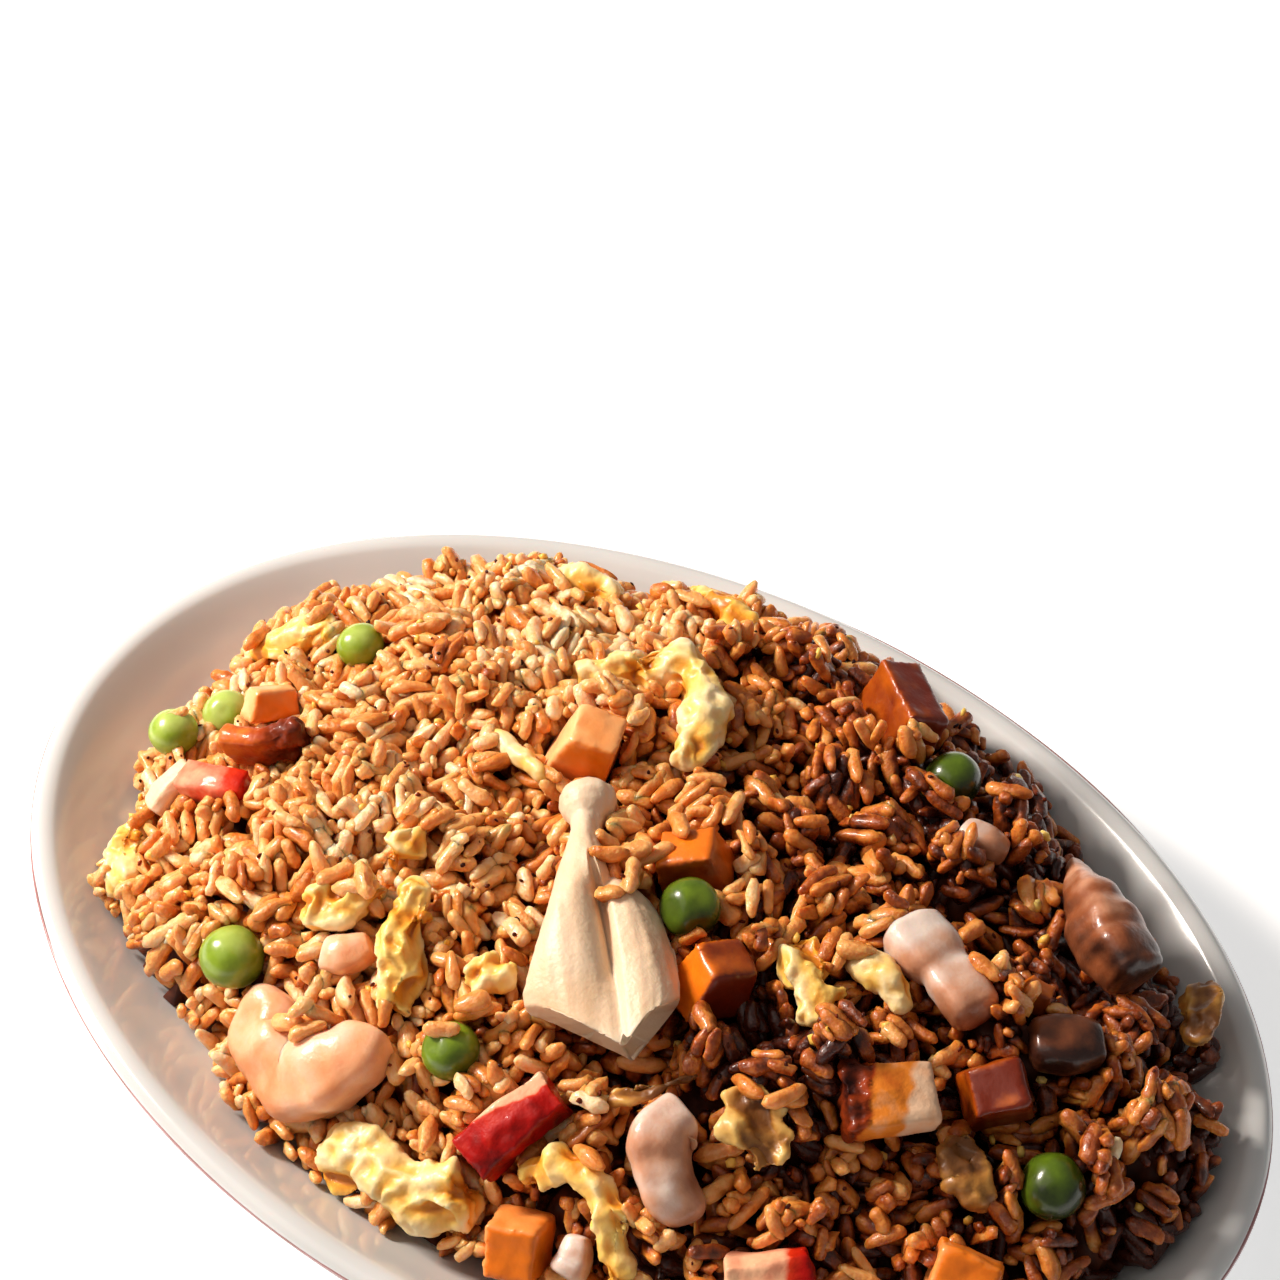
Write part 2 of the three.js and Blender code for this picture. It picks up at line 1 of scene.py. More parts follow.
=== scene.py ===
# Plate of combination fried rice: a glazed oval platter, a heap of loose cooked grains on a
# dark core that paints the shade between them, and the peas, carrot, pork, chicken, prawns and
# egg bedded in it.
# Lengths are in millimetres until a mesh is made; MM turns them into metres.
import math
import bmesh
import bpy
import numpy as np
from mathutils import Euler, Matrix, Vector
from mathutils.bvhtree import BVHTree


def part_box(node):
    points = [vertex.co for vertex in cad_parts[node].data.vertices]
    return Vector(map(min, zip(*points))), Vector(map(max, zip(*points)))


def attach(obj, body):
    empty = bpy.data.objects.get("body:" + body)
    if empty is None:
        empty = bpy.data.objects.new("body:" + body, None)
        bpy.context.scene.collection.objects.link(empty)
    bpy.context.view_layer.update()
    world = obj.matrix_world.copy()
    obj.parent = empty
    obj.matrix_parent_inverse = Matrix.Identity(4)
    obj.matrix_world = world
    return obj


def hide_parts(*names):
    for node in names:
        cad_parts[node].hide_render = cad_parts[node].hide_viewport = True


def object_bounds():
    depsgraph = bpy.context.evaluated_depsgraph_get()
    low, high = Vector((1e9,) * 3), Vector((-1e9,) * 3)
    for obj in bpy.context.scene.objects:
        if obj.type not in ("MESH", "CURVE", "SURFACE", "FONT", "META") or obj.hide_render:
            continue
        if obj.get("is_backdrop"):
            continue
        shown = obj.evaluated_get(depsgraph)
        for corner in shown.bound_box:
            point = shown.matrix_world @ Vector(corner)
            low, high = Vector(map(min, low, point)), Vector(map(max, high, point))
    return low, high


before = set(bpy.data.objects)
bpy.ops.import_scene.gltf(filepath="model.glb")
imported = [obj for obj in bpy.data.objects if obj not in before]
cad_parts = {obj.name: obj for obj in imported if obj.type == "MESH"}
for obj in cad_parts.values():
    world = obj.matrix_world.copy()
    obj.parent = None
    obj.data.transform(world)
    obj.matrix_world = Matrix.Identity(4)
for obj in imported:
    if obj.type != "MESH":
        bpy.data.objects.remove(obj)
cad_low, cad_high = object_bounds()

MM = 0.001

# Plate profile, as insets from the outside edge and heights, from under the foot to the middle
PLATE_HALF_LENGTH = 102.0
PLATE_HALF_WIDTH = 72.0
PLATE_SIDES = 168
PLATE_STEPS = 5
PLATE_UNDERSIDE = [(60, 2.5), (42, 2.5), (40.5, 0.12), (39.8, 0), (36.6, 0), (35.6, 0.2), (34.5, 2.2)]
PLATE_WALL = [(24, 6.5), (12, 13), (4, 19.5), (0.8, 22)]
PLATE_LIP = [(0, 23.2), (0.3, 24.2), (1.5, 25), (3.2, 24.8), (4.8, 23.6)]
PLATE_INSIDE = [(9, 19.6), (14, 15.4), (20, 11.6), (26, 9.1), (32, 7.8), (38, 7.3), (60, 7)]
EDGE_LINE_HEIGHT = 23.3
EDGE_LINE_WIDTH = 1.3
EDGE_LINE_PROUD = 0.04

# One cooked long grain
GRAIN_LENGTH = 7.2
GRAIN_WIDTH = 2.6
GRAIN_RINGS = 7
GRAIN_SIDES = 8
GRAIN_SHAPES = 20

# Heap of grains, on square cells
CELL = 0.5
COARSE_CELL = 1.0
DROP_HEIGHT = 90
STRAY_TRIES = 150
CORE_DEPTH = 7.0
CORE_STEP = 4
# Least depth of heap that holds the dark core of painted shade, and the crumbs
LEAST_CORE_DEPTH = 3
RIM_CLEAR = 8
CLUMP_SPACING = 10.5
CLUMP_RISE = 1.5
GROOVE_WIDTH = 1.7
HEAP_LUMP = 0.9
HEAP_TOP = 47.5
# Highest that a grain may stand, a millimetre over the CAD solids
GRAIN_LIMIT = cad_high[2] / MM + 1.0

# Tone that a grain loses where it lies deep among other grains, as painted shade, at the left and more
# on the right
GAP_SHADE = 0.2
RIGHT_GAP_SHADE = 0.42

# Painted shadow of the chicken on the grains beside it: middle, reach, and the tone that grains lose
# there
CHICKEN_SHADOW_PAINT = [(34.7, -16.5, 11, 0.42)]

rng = np.random.default_rng(20)


def linear(hex_colour):
    """Linear colour of an sRGB hex value."""
    values = [int(hex_colour[i:i + 2], 16) / 255 for i in (1, 3, 5)]
    return [v / 12.92 if v <= 0.04045 else ((v + 0.055) / 1.055) ** 2.4 for v in values] + [1.0]


def add_node(tree, kind, inputs=None, stops=None, **settings):
    """Adds a shader node with its settings; inputs are values or other nodes' outputs."""
    made = tree.nodes.new(kind)
    for name, value in settings.items():
        setattr(made, name, value)
    for name, value in (inputs or {}).items():
        if isinstance(value, bpy.types.NodeSocket):
            tree.links.new(value, made.inputs[name])
        else:
            made.inputs[name].default_value = value
    for index, (place, colour) in enumerate(stops or []):
        if index < 2:
            stop = made.color_ramp.elements[index]
            stop.position = place
        else:
            stop = made.color_ramp.elements.new(place)
        stop.color = linear(colour)
    return made


def smooth_noise(points, size, seed):
    """Smooth random values from -1 to 1 at points, in lumps of one size."""
    place = np.asarray(points, float) / size + 31.7 * seed
    low = np.floor(place).astype(np.int64)
    part = place - low
    part = part * part * (3 - 2 * part)
    total = np.zeros(len(place))
    for corner in np.ndindex(2, 2, 2):
        at = low + corner
        mixed = at[:, 0] * 73856093 ^ at[:, 1] * 19349663 ^ at[:, 2] * 83492791
        mixed = (mixed ^ (mixed >> 13)) * 1274126177
        value = ((mixed ^ (mixed >> 16)) & 65535) / 65535
        weight = np.prod(np.where(corner, part, 1 - part), axis=1)
        total += value * weight
    return 2 * total - 1


def mesh_object(name, points, faces, material, slot, tones=None):
    """Mesh piece from points in millimetres, riding on the plate's body."""
    mesh = bpy.data.meshes.new(name)
    faces = np.asarray(faces)
    mesh.vertices.add(len(points))
    mesh.vertices.foreach_set("co", (np.asarray(points) * MM).ravel())
    sizes = np.where(faces[:, -1] < 0, 3, 4)
    loops = faces[faces >= 0].ravel()
    mesh.loops.add(len(loops))
    mesh.loops.foreach_set("vertex_index", loops)
    mesh.polygons.add(len(faces))
    mesh.polygons.foreach_set("loop_start", np.concatenate([[0], np.cumsum(sizes)[:-1]]))
    mesh.polygons.foreach_set("loop_total", sizes)
    mesh.update(calc_edges=True)
    mesh.validate()
    mesh.shade_smooth()
    if tones is not None:
        layer = mesh.attributes.new("tone", "FLOAT", "POINT")
        layer.data.foreach_set("value", np.asarray(tones, np.float32))
    made = bpy.data.objects.new(name, mesh)
    bpy.context.scene.collection.objects.link(made)
    mesh.materials.append(material)
    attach(made, "root")
    return made


def ring_faces(rings, sides):
    """Faces of a closed skin over rings of points, with a pole before and one after them."""
    here = np.arange(sides)
    after = (here + 1) % sides
    none = np.full(sides, -1)
    last = 1 + rings * sides
    parts = [np.stack([np.zeros(sides, int), 1 + after, 1 + here, none], 1)]
    for low in range(1, last - sides, sides):
        high = low + sides
        parts.append(np.stack([low + here, low + after, high + after, high + here], 1))
    end = last - sides
    parts.append(np.stack([end + here, end + after, np.full(sides, last), none], 1))
    return np.concatenate(parts)


def node_mesh(name):
    """Points in millimetres and faces of a CAD node, as it lies."""
    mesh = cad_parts[name].data
    points = np.empty(len(mesh.vertices) * 3)
    mesh.vertices.foreach_get("co", points)
    mesh.calc_loop_triangles()
    faces = np.empty(len(mesh.loop_triangles) * 3, int)
    mesh.loop_triangles.foreach_get("vertices", faces)
    faces = faces.reshape(-1, 3)
    return points.reshape(-1, 3) / MM, np.column_stack([faces, np.full(len(faces), -1)])


def joined(bodies):
    """Several bodies as one list of points and one of faces."""
    shift = np.cumsum([0] + [len(points) for points, _ in bodies[:-1]])
    faces = [np.where(shape < 0, -1, shape + move) for (_, shape), move in zip(bodies, shift)]
    return np.concatenate([points for points, _ in bodies]), np.concatenate(faces)


# Heights over the plate, on a grid of square cells

def fall_on_mesh(points, faces, xs, ys):
    """Height at which something falling on a mesh lands, nan where it misses."""
    shape = [[i for i in face if i >= 0] for face in faces.tolist()]
    tree = BVHTree.FromPolygons(points.tolist(), shape)
    down = Vector((0, 0, -1))
    heights = np.full((len(ys), len(xs)), np.nan)
    for row, y in enumerate(ys):
        for column, x in enumerate(xs):
            hit = tree.ray_cast(Vector((x, y, DROP_HEIGHT)), down)[0]
            if hit is not None:
                heights[row, column] = hit.z
    return heights


def fall_on(names, xs, ys):
    """Height at which something falling on these nodes lands, nan where it misses."""
    return fall_on_mesh(*joined([node_mesh(name) for name in names]), xs, ys)


def soften(values, times):
    """Values blurred by their neighbours, over and over."""
    for _ in range(times):
        for axis in (0, 1):
            values = (np.roll(values, 1, axis) + 2 * values + np.roll(values, -1, axis)) / 4
    return values


def widen(mask, times):
    """Mask grown by one cell, over and over."""
    for _ in range(times):
        for axis in (0, 1):
            mask = mask | np.roll(mask, 1, axis) | np.roll(mask, -1, axis)
    return mask


def fill_in(values, gaps, times):
    """Values with their gaps filled smoothly from round about."""
    values = np.where(gaps, np.nanmean(np.where(gaps, np.nan, values)), values)
    for _ in range(times):
        values = np.where(gaps, soften(values, 1), values)
    return values


def finer(values, xs, ys, fine_xs, fine_ys):
    """Values read between the cells of a coarser grid."""
    across = np.array([np.interp(fine_xs, xs, row) for row in values])
    return np.array([np.interp(fine_ys, ys, column) for column in across.T]).T


def clumps_over(spacing):
    """Number of the clump of grains that holds each cell, and how deep in a groove it lies."""
    wide, long = PLATE_HALF_WIDTH + 4, PLATE_HALF_LENGTH + 4
    rows, columns = np.mgrid[-wide:wide:spacing, -long:long:spacing]
    moved = rng.uniform(-0.42, 0.42, (rows.size, 2)) * spacing
    centres = np.stack([columns.ravel(), rows.ravel()], 1) + moved
    wander = np.stack([smooth_noise(places, 5.0, 14), smooth_noise(places, 5.0, 15)], 1) * 1.8
    nearest = np.full(grid_x.size, np.inf)
    second = np.full(grid_x.size, np.inf)
    clump = np.zeros(grid_x.size, int)
    for number, centre in enumerate(centres):
        away = np.hypot(*(places[:, :2] + wander - centre).T)
        closer = away < nearest
        second = np.where(closer, nearest, np.minimum(second, away))
        nearest = np.where(closer, away, nearest)
        clump[closer] = number
    groove = np.exp(-((second - nearest) / 2 / GROOVE_WIDTH) ** 2)
    return clump.reshape(grid_x.shape), groove.reshape(grid_x.shape)


TOPPINGS = sorted(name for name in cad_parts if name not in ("plate", "rice"))

coarse_xs = np.arange(1 - PLATE_HALF_LENGTH, PLATE_HALF_LENGTH, COARSE_CELL)
coarse_ys = np.arange(1 - PLATE_HALF_WIDTH, PLATE_HALF_WIDTH, COARSE_CELL)
xs = np.arange(1 - PLATE_HALF_LENGTH, PLATE_HALF_LENGTH - 1, CELL)
ys = np.arange(1 - PLATE_HALF_WIDTH, PLATE_HALF_WIDTH - 1, CELL)
grid_x, grid_y = np.meshgrid(xs, ys)
plate_top = fall_on(["plate"], coarse_xs, coarse_ys)
plate_top = fill_in(plate_top, np.isnan(plate_top), 4)
rice_top = fall_on(["rice"], coarse_xs, coarse_ys)
toppings_top = fall_on(TOPPINGS, coarse_xs, coarse_ys)

covered = widen(~np.isnan(toppings_top), 2) & widen(~np.isnan(rice_top), 3)
heap = fill_in(np.where(np.isnan(rice_top), plate_top, rice_top), covered, 400)
heap = np.where(np.isnan(rice_top) & ~covered, plate_top, heap)
heap = finer(soften(heap, 6), coarse_xs, coarse_ys, xs, ys)
plate_top = finer(plate_top, coarse_xs, coarse_ys, xs, ys)
places = np.stack([grid_x.ravel(), grid_y.ravel(), np.zeros(grid_x.size)], 1)
lumps = (smooth_noise(places, 16.0, 1) + 0.5 * smooth_noise(places, 7.0, 2)).reshape(heap.shape)
loose = np.clip((grid_x + 25) / 60, 0, 1)
clump, groove = clumps_over(CLUMP_SPACING)
clump_rise = rng.normal(0, CLUMP_RISE, clump.max() + 1)[clump]
clump_yaw = rng.uniform(0, math.pi, clump.max() + 1)[clump]
clump_stand = rng.random(clump.max() + 1)[clump]
inside = np.clip((heap - plate_top) / 6.0, 0, 1)
bare_heap = heap
uneven = HEAP_LUMP * lumps + clump_rise * (0.8 + 0.7 * loose)
heap = heap + inside * (uneven - (3.0 + 6.5 * loose) * groove)
heap = np.minimum(heap, HEAP_TOP)
on_plate = ((grid_x / (PLATE_HALF_LENGTH - RIM_CLEAR)) ** 2
            + (grid_y / (PLATE_HALF_WIDTH - RIM_CLEAR)) ** 2 < 1)
in_heap = finer(np.where(np.isnan(rice_top) & ~covered, 0.0, 1.0), coarse_xs, coarse_ys, xs, ys) > 0.5
in_heap = in_heap & on_plate
heap = np.where(in_heap, heap, plate_top)
core_top = np.maximum(heap - CORE_DEPTH, plate_top + 0.3)
deep_enough = heap - plate_top > LEAST_CORE_DEPTH


def cell_of(x, y):
    """Row and column of the cell that holds each place."""
    column = np.clip(np.rint((x - xs[0]) / CELL).astype(int), 0, len(xs) - 1)
    row = np.clip(np.rint((y - ys[0]) / CELL).astype(int), 0, len(ys) - 1)
    return row, column


toppings_here = finer(np.where(np.isnan(toppings_top), 0.0, 1.0), coarse_xs, coarse_ys, xs, ys)


def under_toppings(pieces):
    """Cells in which a topping reaches down into the grains."""
    mask = np.zeros(heap.shape, bool)
    for points in pieces:
        row, column = cell_of(points[:, 0], points[:, 1])
        low = points[:, 2] < heap[row, column] + 1.2
        mask[row[low], column[low]] = True
    return widen(mask, 1)


# Grains

def grain_shapes():
    """Grains of unit length and width: whole, bent, tapered, flattened and creased ones."""
    along = -np.cos(np.pi * np.arange(1, GRAIN_RINGS + 1) / (GRAIN_RINGS + 1))
    turn = 2 * np.pi * np.arange(GRAIN_SIDES) / GRAIN_SIDES
    shapes = []
    for kind in range(GRAIN_SHAPES):
        bend = rng.uniform(-0.1, 0.22)
        taper = rng.uniform(-0.14, 0.14)
        flat = rng.uniform(0.74, 0.95)
        blunt = rng.uniform(2.2, 5.0)
        radius = (1 - np.abs(along) ** blunt) ** 0.5 * (1 + taper * along)
        radius = radius * (1 + 0.08 * np.sin(along * rng.uniform(3, 7) + rng.uniform(0, 6)))
        crease = 1 - 0.2 * np.maximum(0, np.cos(turn - 0.6)) ** 4 + 0.1 * np.cos(4 * turn + kind)
        wide = radius[:, None] * crease * np.cos(turn)
        high = radius[:, None] * crease * np.sin(turn) * flat
        long = np.repeat(along[:, None], GRAIN_SIDES, 1)
        long = long + 0.12 * rng.uniform(-1, 1) * wide
        body = np.stack([long, wide, high + bend * (long * long - 0.4)], 2).reshape(-1, 3)
        body[:, 1:] *= 1 + 0.16 * smooth_noise(body * [3, 1, 1], 0.8, 40 + kind)[:, None]
        ends = np.array([[-1.0, 0, bend * 0.6], [1.0, 0, bend * 0.6]])
        shapes.append(np.concatenate([ends[:1], body, ends[1:]]))
    return np.array(shapes)


RICE_KINDS = ["dark", "toasted", "brown", "tan", "golden", "pale"]

# Each pass of the pile: length and width in grains, how many, chance that grains stick together
# side by side, chance of a steep one, how far a tip may stand over the heap, and how many misses
# in a row end the pass
PASSES = [
    ((0.72, 1.1), (0.8, 1.12), 3900, 0.6, 0.5, 1.9, 900),
    ((0.55, 0.9), (0.76, 1.06), 1700, 0.4, 0.6, 2.0, 900),
    ((0.28, 0.5), (0.5, 0.95), 1060, 0.0, 0.3, 1.4, 1800),
]

# Grains stuck on a topping: middle, how far they spread, how many, and the way they lie
RICE_ON_TOPPINGS = [
    ((7.2, -8.0), 3.4, 26, None),
    ((10.6, -12.6), 2.0, 8, None),
    ((-17.5, -48.5), 3.6, 12, None),
    ((1.0, -41.7), 0.3, 1, 0.6),
    ((2.6, -37.6), 1.0, 2, 0.6),
    ((40, -32.8), 1.5, 2, None),
    ((-23, -30.5), 2.5, 3, None),
    ((-76, -17.5), 1.8, 6, None),
    ((26.5, -11), 0.8, 1, 0.7),
]


def pile_grains(target, floor, blocked):
    """Drops grains one by one where the heap is still low.

    Returns how each lies, the height that they reach, and how many are in the heap itself.
    """
    edge = in_heap | (toppings_here > 0)
    top = floor.copy()
    reach = int(GRAIN_LENGTH * 0.66 / CELL)
    step = np.arange(-reach, reach + 1) * CELL
    off_x, off_y = np.meshgrid(step, step)
    rows, columns = np.nonzero((target > plate_top + 0.8) & ~blocked & in_heap)
    kept = []

    def settle(x, y, yaw, tips, length, width, sink, over, overlap=0.4):
        """Lets one grain down at a place, where it fits, and returns its slope."""
        row, column = (int(v) for v in cell_of(np.float64(x), np.float64(y)))
        if not (reach <= row < len(ys) - reach and reach <= column < len(xs) - reach):
            return None
        window = (slice(row - reach, row + reach + 1), slice(column - reach, column + reach + 1))
        ground = top[window]
        dx, dy = off_x + xs[column] - x, off_y + ys[row] - y
        u = dx * math.cos(yaw) + dy * math.sin(yaw)
        v = dy * math.cos(yaw) - dx * math.sin(yaw)
        found = None
        for slope in tips:
            level = math.hypot(1, slope)
            share = 1 - (np.abs(u) * level / (length / 2)) ** 3 - (v / (width / 2)) ** 2
            under = share > 0
            if under.sum() < 5:
                continue
            half = 0.44 * width * np.sqrt(share[under]) * level
            rest = ground[under] - slope * u[under] + half
            place = int(len(rest) * 0.85)
            height = np.partition(rest, place)[place] + 0.25 * abs(slope)
            if found is None or height < found[0]:
                found = (height, slope, under, half)
        if found is None:
            return None
        height, slope, under, half = found
        height -= sink
        height = max(height, float(np.max(plate_top[window][under] - slope * u[under] + half)) + 0.1)
        tip = height + abs(slope) * length / 2 / math.hypot(1, slope)
        if tip > target[row, column] + over or blocked[window][under].mean() > overlap:
            return None
        if tip + 0.6 * width > GRAIN_LIMIT:
            return None
        if not edge[window][under].all() and edge[window][under].mean() < 0.7:
            return None
        surface = height + slope * u[under] + half
        patch = ground.copy()
        patch[under] = np.maximum(patch[under], surface)
        top[window] = patch
        kept.append((x, y, height, yaw, slope, length, width, rng.uniform(0, 6.28)))
        return slope

    for lengths, widths, limit, stuck, stands, over, patience in PASSES:
        count = len(kept)
        misses = 0
        while len(kept) < count + limit and misses < patience:
            pick = rng.integers(0, len(rows), 14)
            need = target[rows[pick], columns[pick]] - top[rows[pick], columns[pick]]
            best = np.argmax(need + rng.uniform(0, 2.0, 14))
            row, column = rows[pick[best]], columns[pick[best]]
            misses += 1
            if need[best] < 0.3:
                continue
            length = GRAIN_LENGTH * rng.uniform(*lengths)
            width = GRAIN_WIDTH * rng.uniform(*widths)
            yaw = clump_yaw[row, column] + rng.normal(0, 0.35 if rng.random() < 0.6 else 1.5)
            steep = rng.random() < 2 * stands * clump_stand[row, column]
            if steep:
                tips = [rng.choice([-1, 1]) * rng.uniform(0.6, 2.0)]
            else:
                slopes = np.gradient(top[row - 3:row + 4:3, column - 3:column + 4:3], 3 * CELL)
                fall = math.cos(yaw) * slopes[1][1, 1] + math.sin(yaw) * slopes[0][1, 1]
                fall = max(-1.1, min(1.1, float(fall)))
                tips = [0.8 * fall + tip + rng.normal(0, 0.08) for tip in (-0.6, -0.25, 0, 0.25, 0.6)]
            x, y = xs[column], ys[row]
            slope = settle(x, y, yaw, tips, length, width, rng.uniform(0.3, 1.3) + 1.0 * steep,
                           over + 0.9 * steep)
            if slope is None:
                continue
            misses = 0
            side = rng.choice([-1, 1])
            for number in range(1, 4):
                if rng.random() > stuck:
                    break
                shift, forward = side * number * width * 0.84, rng.normal(0, 1.3)
                settle(x - math.sin(yaw) * shift + math.cos(yaw) * forward,
                       y + math.cos(yaw) * shift + math.sin(yaw) * forward, yaw + rng.normal(0, 0.13),
                       [slope + rng.normal(0, 0.1)], length * rng.uniform(0.85, 1.05),
                       width * rng.uniform(0.9, 1.08), rng.uniform(0.3, 1.2), over + 0.5)
    piled = len(kept)
    for middle, spread, count, lie in RICE_ON_TOPPINGS:
        for x, y in rng.normal(0, 0.5, (count, 2)) * spread + middle:
            yaw = rng.uniform(0, 3.14) if lie is None else lie + rng.normal(0, 0.1)
            settle(x, y, yaw, rng.uniform(-0.9, 0.9, 5), GRAIN_LENGTH * rng.uniform(0.6, 1),
                   GRAIN_WIDTH * rng.uniform(0.85, 1.1), 0.5, 12, 1)
    rows, columns = np.nonzero(blocked & (floor - target < 3.5) & (floor > target - 1))
    for place in rng.integers(0, len(rows), STRAY_TRIES):
        settle(xs[columns[place]], ys[rows[place]], rng.uniform(0, 3.14), rng.uniform(-1.2, 1.2, 5),
               GRAIN_LENGTH * rng.uniform(0.75, 1), GRAIN_WIDTH, 0.5, 5, 0.75)
    return np.array(kept), top, piled


def grain_mesh(grains, shapes):
    """Points and faces of all the grains."""
    pick = rng.integers(0, len(shapes), len(grains))
    x, y, z, yaw, slope, length, width, roll = grains.T
    size = np.stack([length / 2, width / 2, width / 2], 1)
    local = shapes[pick] * size[:, None, :]
    turned = local.copy()
    turned[..., 1] = local[..., 1] * np.cos(roll)[:, None] - local[..., 2] * np.sin(roll)[:, None]
    turned[..., 2] = local[..., 1] * np.sin(roll)[:, None] + local[..., 2] * np.cos(roll)[:, None]
    tip = np.arctan(slope)
    along = np.stack([np.cos(yaw) * np.cos(tip), np.sin(yaw) * np.cos(tip), np.sin(tip)], 1)
    across = np.stack([-np.sin(yaw), np.cos(yaw), np.zeros(len(yaw))], 1)
    up = np.cross(along, across)
    axes = np.stack([along, across, up], 1)
    points = np.einsum("nvk,nkc->nvc", turned, axes) + np.stack([x, y, z], 1)[:, None, :]
    shape = ring_faces(GRAIN_RINGS, GRAIN_SIDES)
    count = points.shape[1]
    shift = np.arange(len(grains))[:, None, None] * count
    faces = np.where(shape[None] < 0, -1, shape[None] + shift)
    points = points.reshape(-1, 3)
    pressed = np.stack([smooth_noise(points, 2.4, 60 + axis) for axis in range(3)], 1)
    worn = np.stack([smooth_noise(points, 1.1, 70 + axis) for axis in range(3)], 1)
    return points + 0.32 * pressed + 0.16 * worn, faces.reshape(-1, 4)


# Reshaping

def unit(direction):
    """Direction of length one."""
    return np.asarray(direction, float) / np.linalg.norm(direction)


def outward(points, faces):
    """Unit direction out of the surface at each point."""
    corners = points[faces[:, :3]]
    across = np.cross(corners[:, 1] - corners[:, 0], corners[:, 2] - corners[:, 0])
    total = np.zeros_like(points)
    for column in range(faces.shape[1]):
        kept = faces[:, column] >= 0
        np.add.at(total, faces[kept, column], across[kept])
    return total / np.maximum(np.linalg.norm(total, axis=1, keepdims=True), 1e-12)


def read_mesh(mesh):
    """Points in millimetres and faces of a mesh of triangles and quads."""
    points = np.empty(len(mesh.vertices) * 3)
    mesh.vertices.foreach_get("co", points)
    faces = np.full((len(mesh.polygons), 4), -1)
    for face in mesh.polygons:
        faces[face.index, :face.loop_total] = face.vertices[:]
    return points.reshape(-1, 3) / MM, faces


def remeshed(points, faces, cell, smoothing):
    """One even, rounded skin round closed bodies that may overlap."""
    mesh = bpy.data.meshes.new("raw")
    shape = [[i for i in face if i >= 0] for face in faces.tolist()]
    mesh.from_pydata((np.asarray(points) * MM).tolist(), [], shape)
    raw = bpy.data.objects.new("raw", mesh)
    bpy.context.scene.collection.objects.link(raw)
    skin = raw.modifiers.new("skin", "REMESH")
    skin.mode = "VOXEL"
    skin.voxel_size = cell * MM
    if smoothing:
        soft = raw.modifiers.new("soft", "SMOOTH")
        soft.iterations = smoothing
        soft.factor = 0.5
    shown = raw.evaluated_get(bpy.context.evaluated_depsgraph_get())
    made = read_mesh(shown.to_mesh())
    shown.to_mesh_clear()
    bpy.data.objects.remove(raw)
    bpy.data.meshes.remove(mesh)
    return made


def ball(centre, radii, level, turn=None):
    """Round body of triangles, stretched and turned."""
    made = bmesh.new()
    bmesh.ops.create_icosphere(made, subdivisions=level, radius=1)
    points = np.array([v.co for v in made.verts]) * radii
    faces = np.array([[v.index for v in f.verts] + [-1] for f in made.faces])
    made.free()
    if turn is not None:
        points = points @ np.array(Euler(turn).to_matrix()).T
    return points + centre, faces


def middle_of(name):
    """Middle and half size of a CAD node's box, in millimetres."""
    low, high = (np.array(corner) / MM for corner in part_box(name))
    return (low + high) / 2, (high - low) / 2


# Materials

def new_material(name, sockets, *stops):
    """Material with one shader, and its settings as values or other nodes' outputs."""
    made = bpy.data.materials.new(name)
    made.use_nodes = True
    made.node_tree.nodes.clear()
    tree = made.node_tree
    place = add_node(tree, "ShaderNodeTexCoord").outputs["Object"]
    shader = add_node(tree, "ShaderNodeBsdfPrincipled", sockets(tree, place, *stops))
    add_node(tree, "ShaderNodeOutputMaterial", {"Surface": shader.outputs[0]})
    return made


def per_mm(size):
    """Texture scale for lumps of one size in millimetres."""
    return 1 / (size * MM)


def stained_colour(tree, place, lump, detail, stops):
    """Colour that changes in lumps of one size in millimetres."""
    blotch = add_node(tree, "ShaderNodeTexNoise",
                     {"Vector": place, "Scale": per_mm(lump), "Detail": detail})
    return add_node(tree, "ShaderNodeValToRGB", {"Fac": blotch.outputs[0]}, stops).outputs[0]


def toned_colour(tree, place, lump, detail, spread, stops):
    """Colour by the tone that a piece carries, stained in lumps of one size."""
    tone = add_node(tree, "ShaderNodeAttribute", attribute_name="tone").outputs["Fac"]
    blotch = add_node(tree, "ShaderNodeTexNoise",
                     {"Vector": place, "Scale": per_mm(lump), "Detail": detail})
    part = add_node(tree, "ShaderNodeMath", {0: blotch.outputs[0], 1: spread, 2: -spread / 2},
                    operation="MULTIPLY_ADD")
    shade = add_node(tree, "ShaderNodeMath", {0: part.outputs[0], 1: tone}, operation="ADD")
    return add_node(tree, "ShaderNodeValToRGB", {"Fac": shade.outputs[0]}, stops).outputs[0]


def worn_relief(tree, place, lump, detail, strength, height):
    """Shading of a surface that is uneven in lumps of one size, all in millimetres."""
    uneven = add_node(tree, "ShaderNodeTexNoise",
                      {"Vector": place, "Scale": per_mm(lump), "Detail": detail})
    return add_node(tree, "ShaderNodeBump", {"Height": uneven.outputs[0], "Strength": strength,
                                             "Distance": height * MM}).outputs[0]


def glazed_stoneware(tree, place):
    # Fired glaze on a cream body: very smooth, faintly uneven where the glaze pooled
    colour = stained_colour(tree, place, 34, 2.0, [(0.35, "#CCCDCC"), (0.65, "#D6D6D5")])
    relief = worn_relief(tree, place, 9, 1.0, 0.05, 0.4)
    return {"Base Color": colour, "Roughness": 0.16, "IOR": 1.5, "Coat Weight": 0.3,
            "Coat Roughness": 0.05, "Subsurface Weight": 0.08, "Subsurface Scale": 0.002,
            "Normal": relief}


def painted_line(tree, place):
    # Overglaze colour brushed on the edge: mauve where thick, brown where it wore thin
    colour = stained_colour(tree, place, 14, 4.0, [(0.35, "#96635F"), (0.7, "#B98A8E")])
    return {"Base Color": colour, "Roughness": 0.22, "IOR": 1.5}


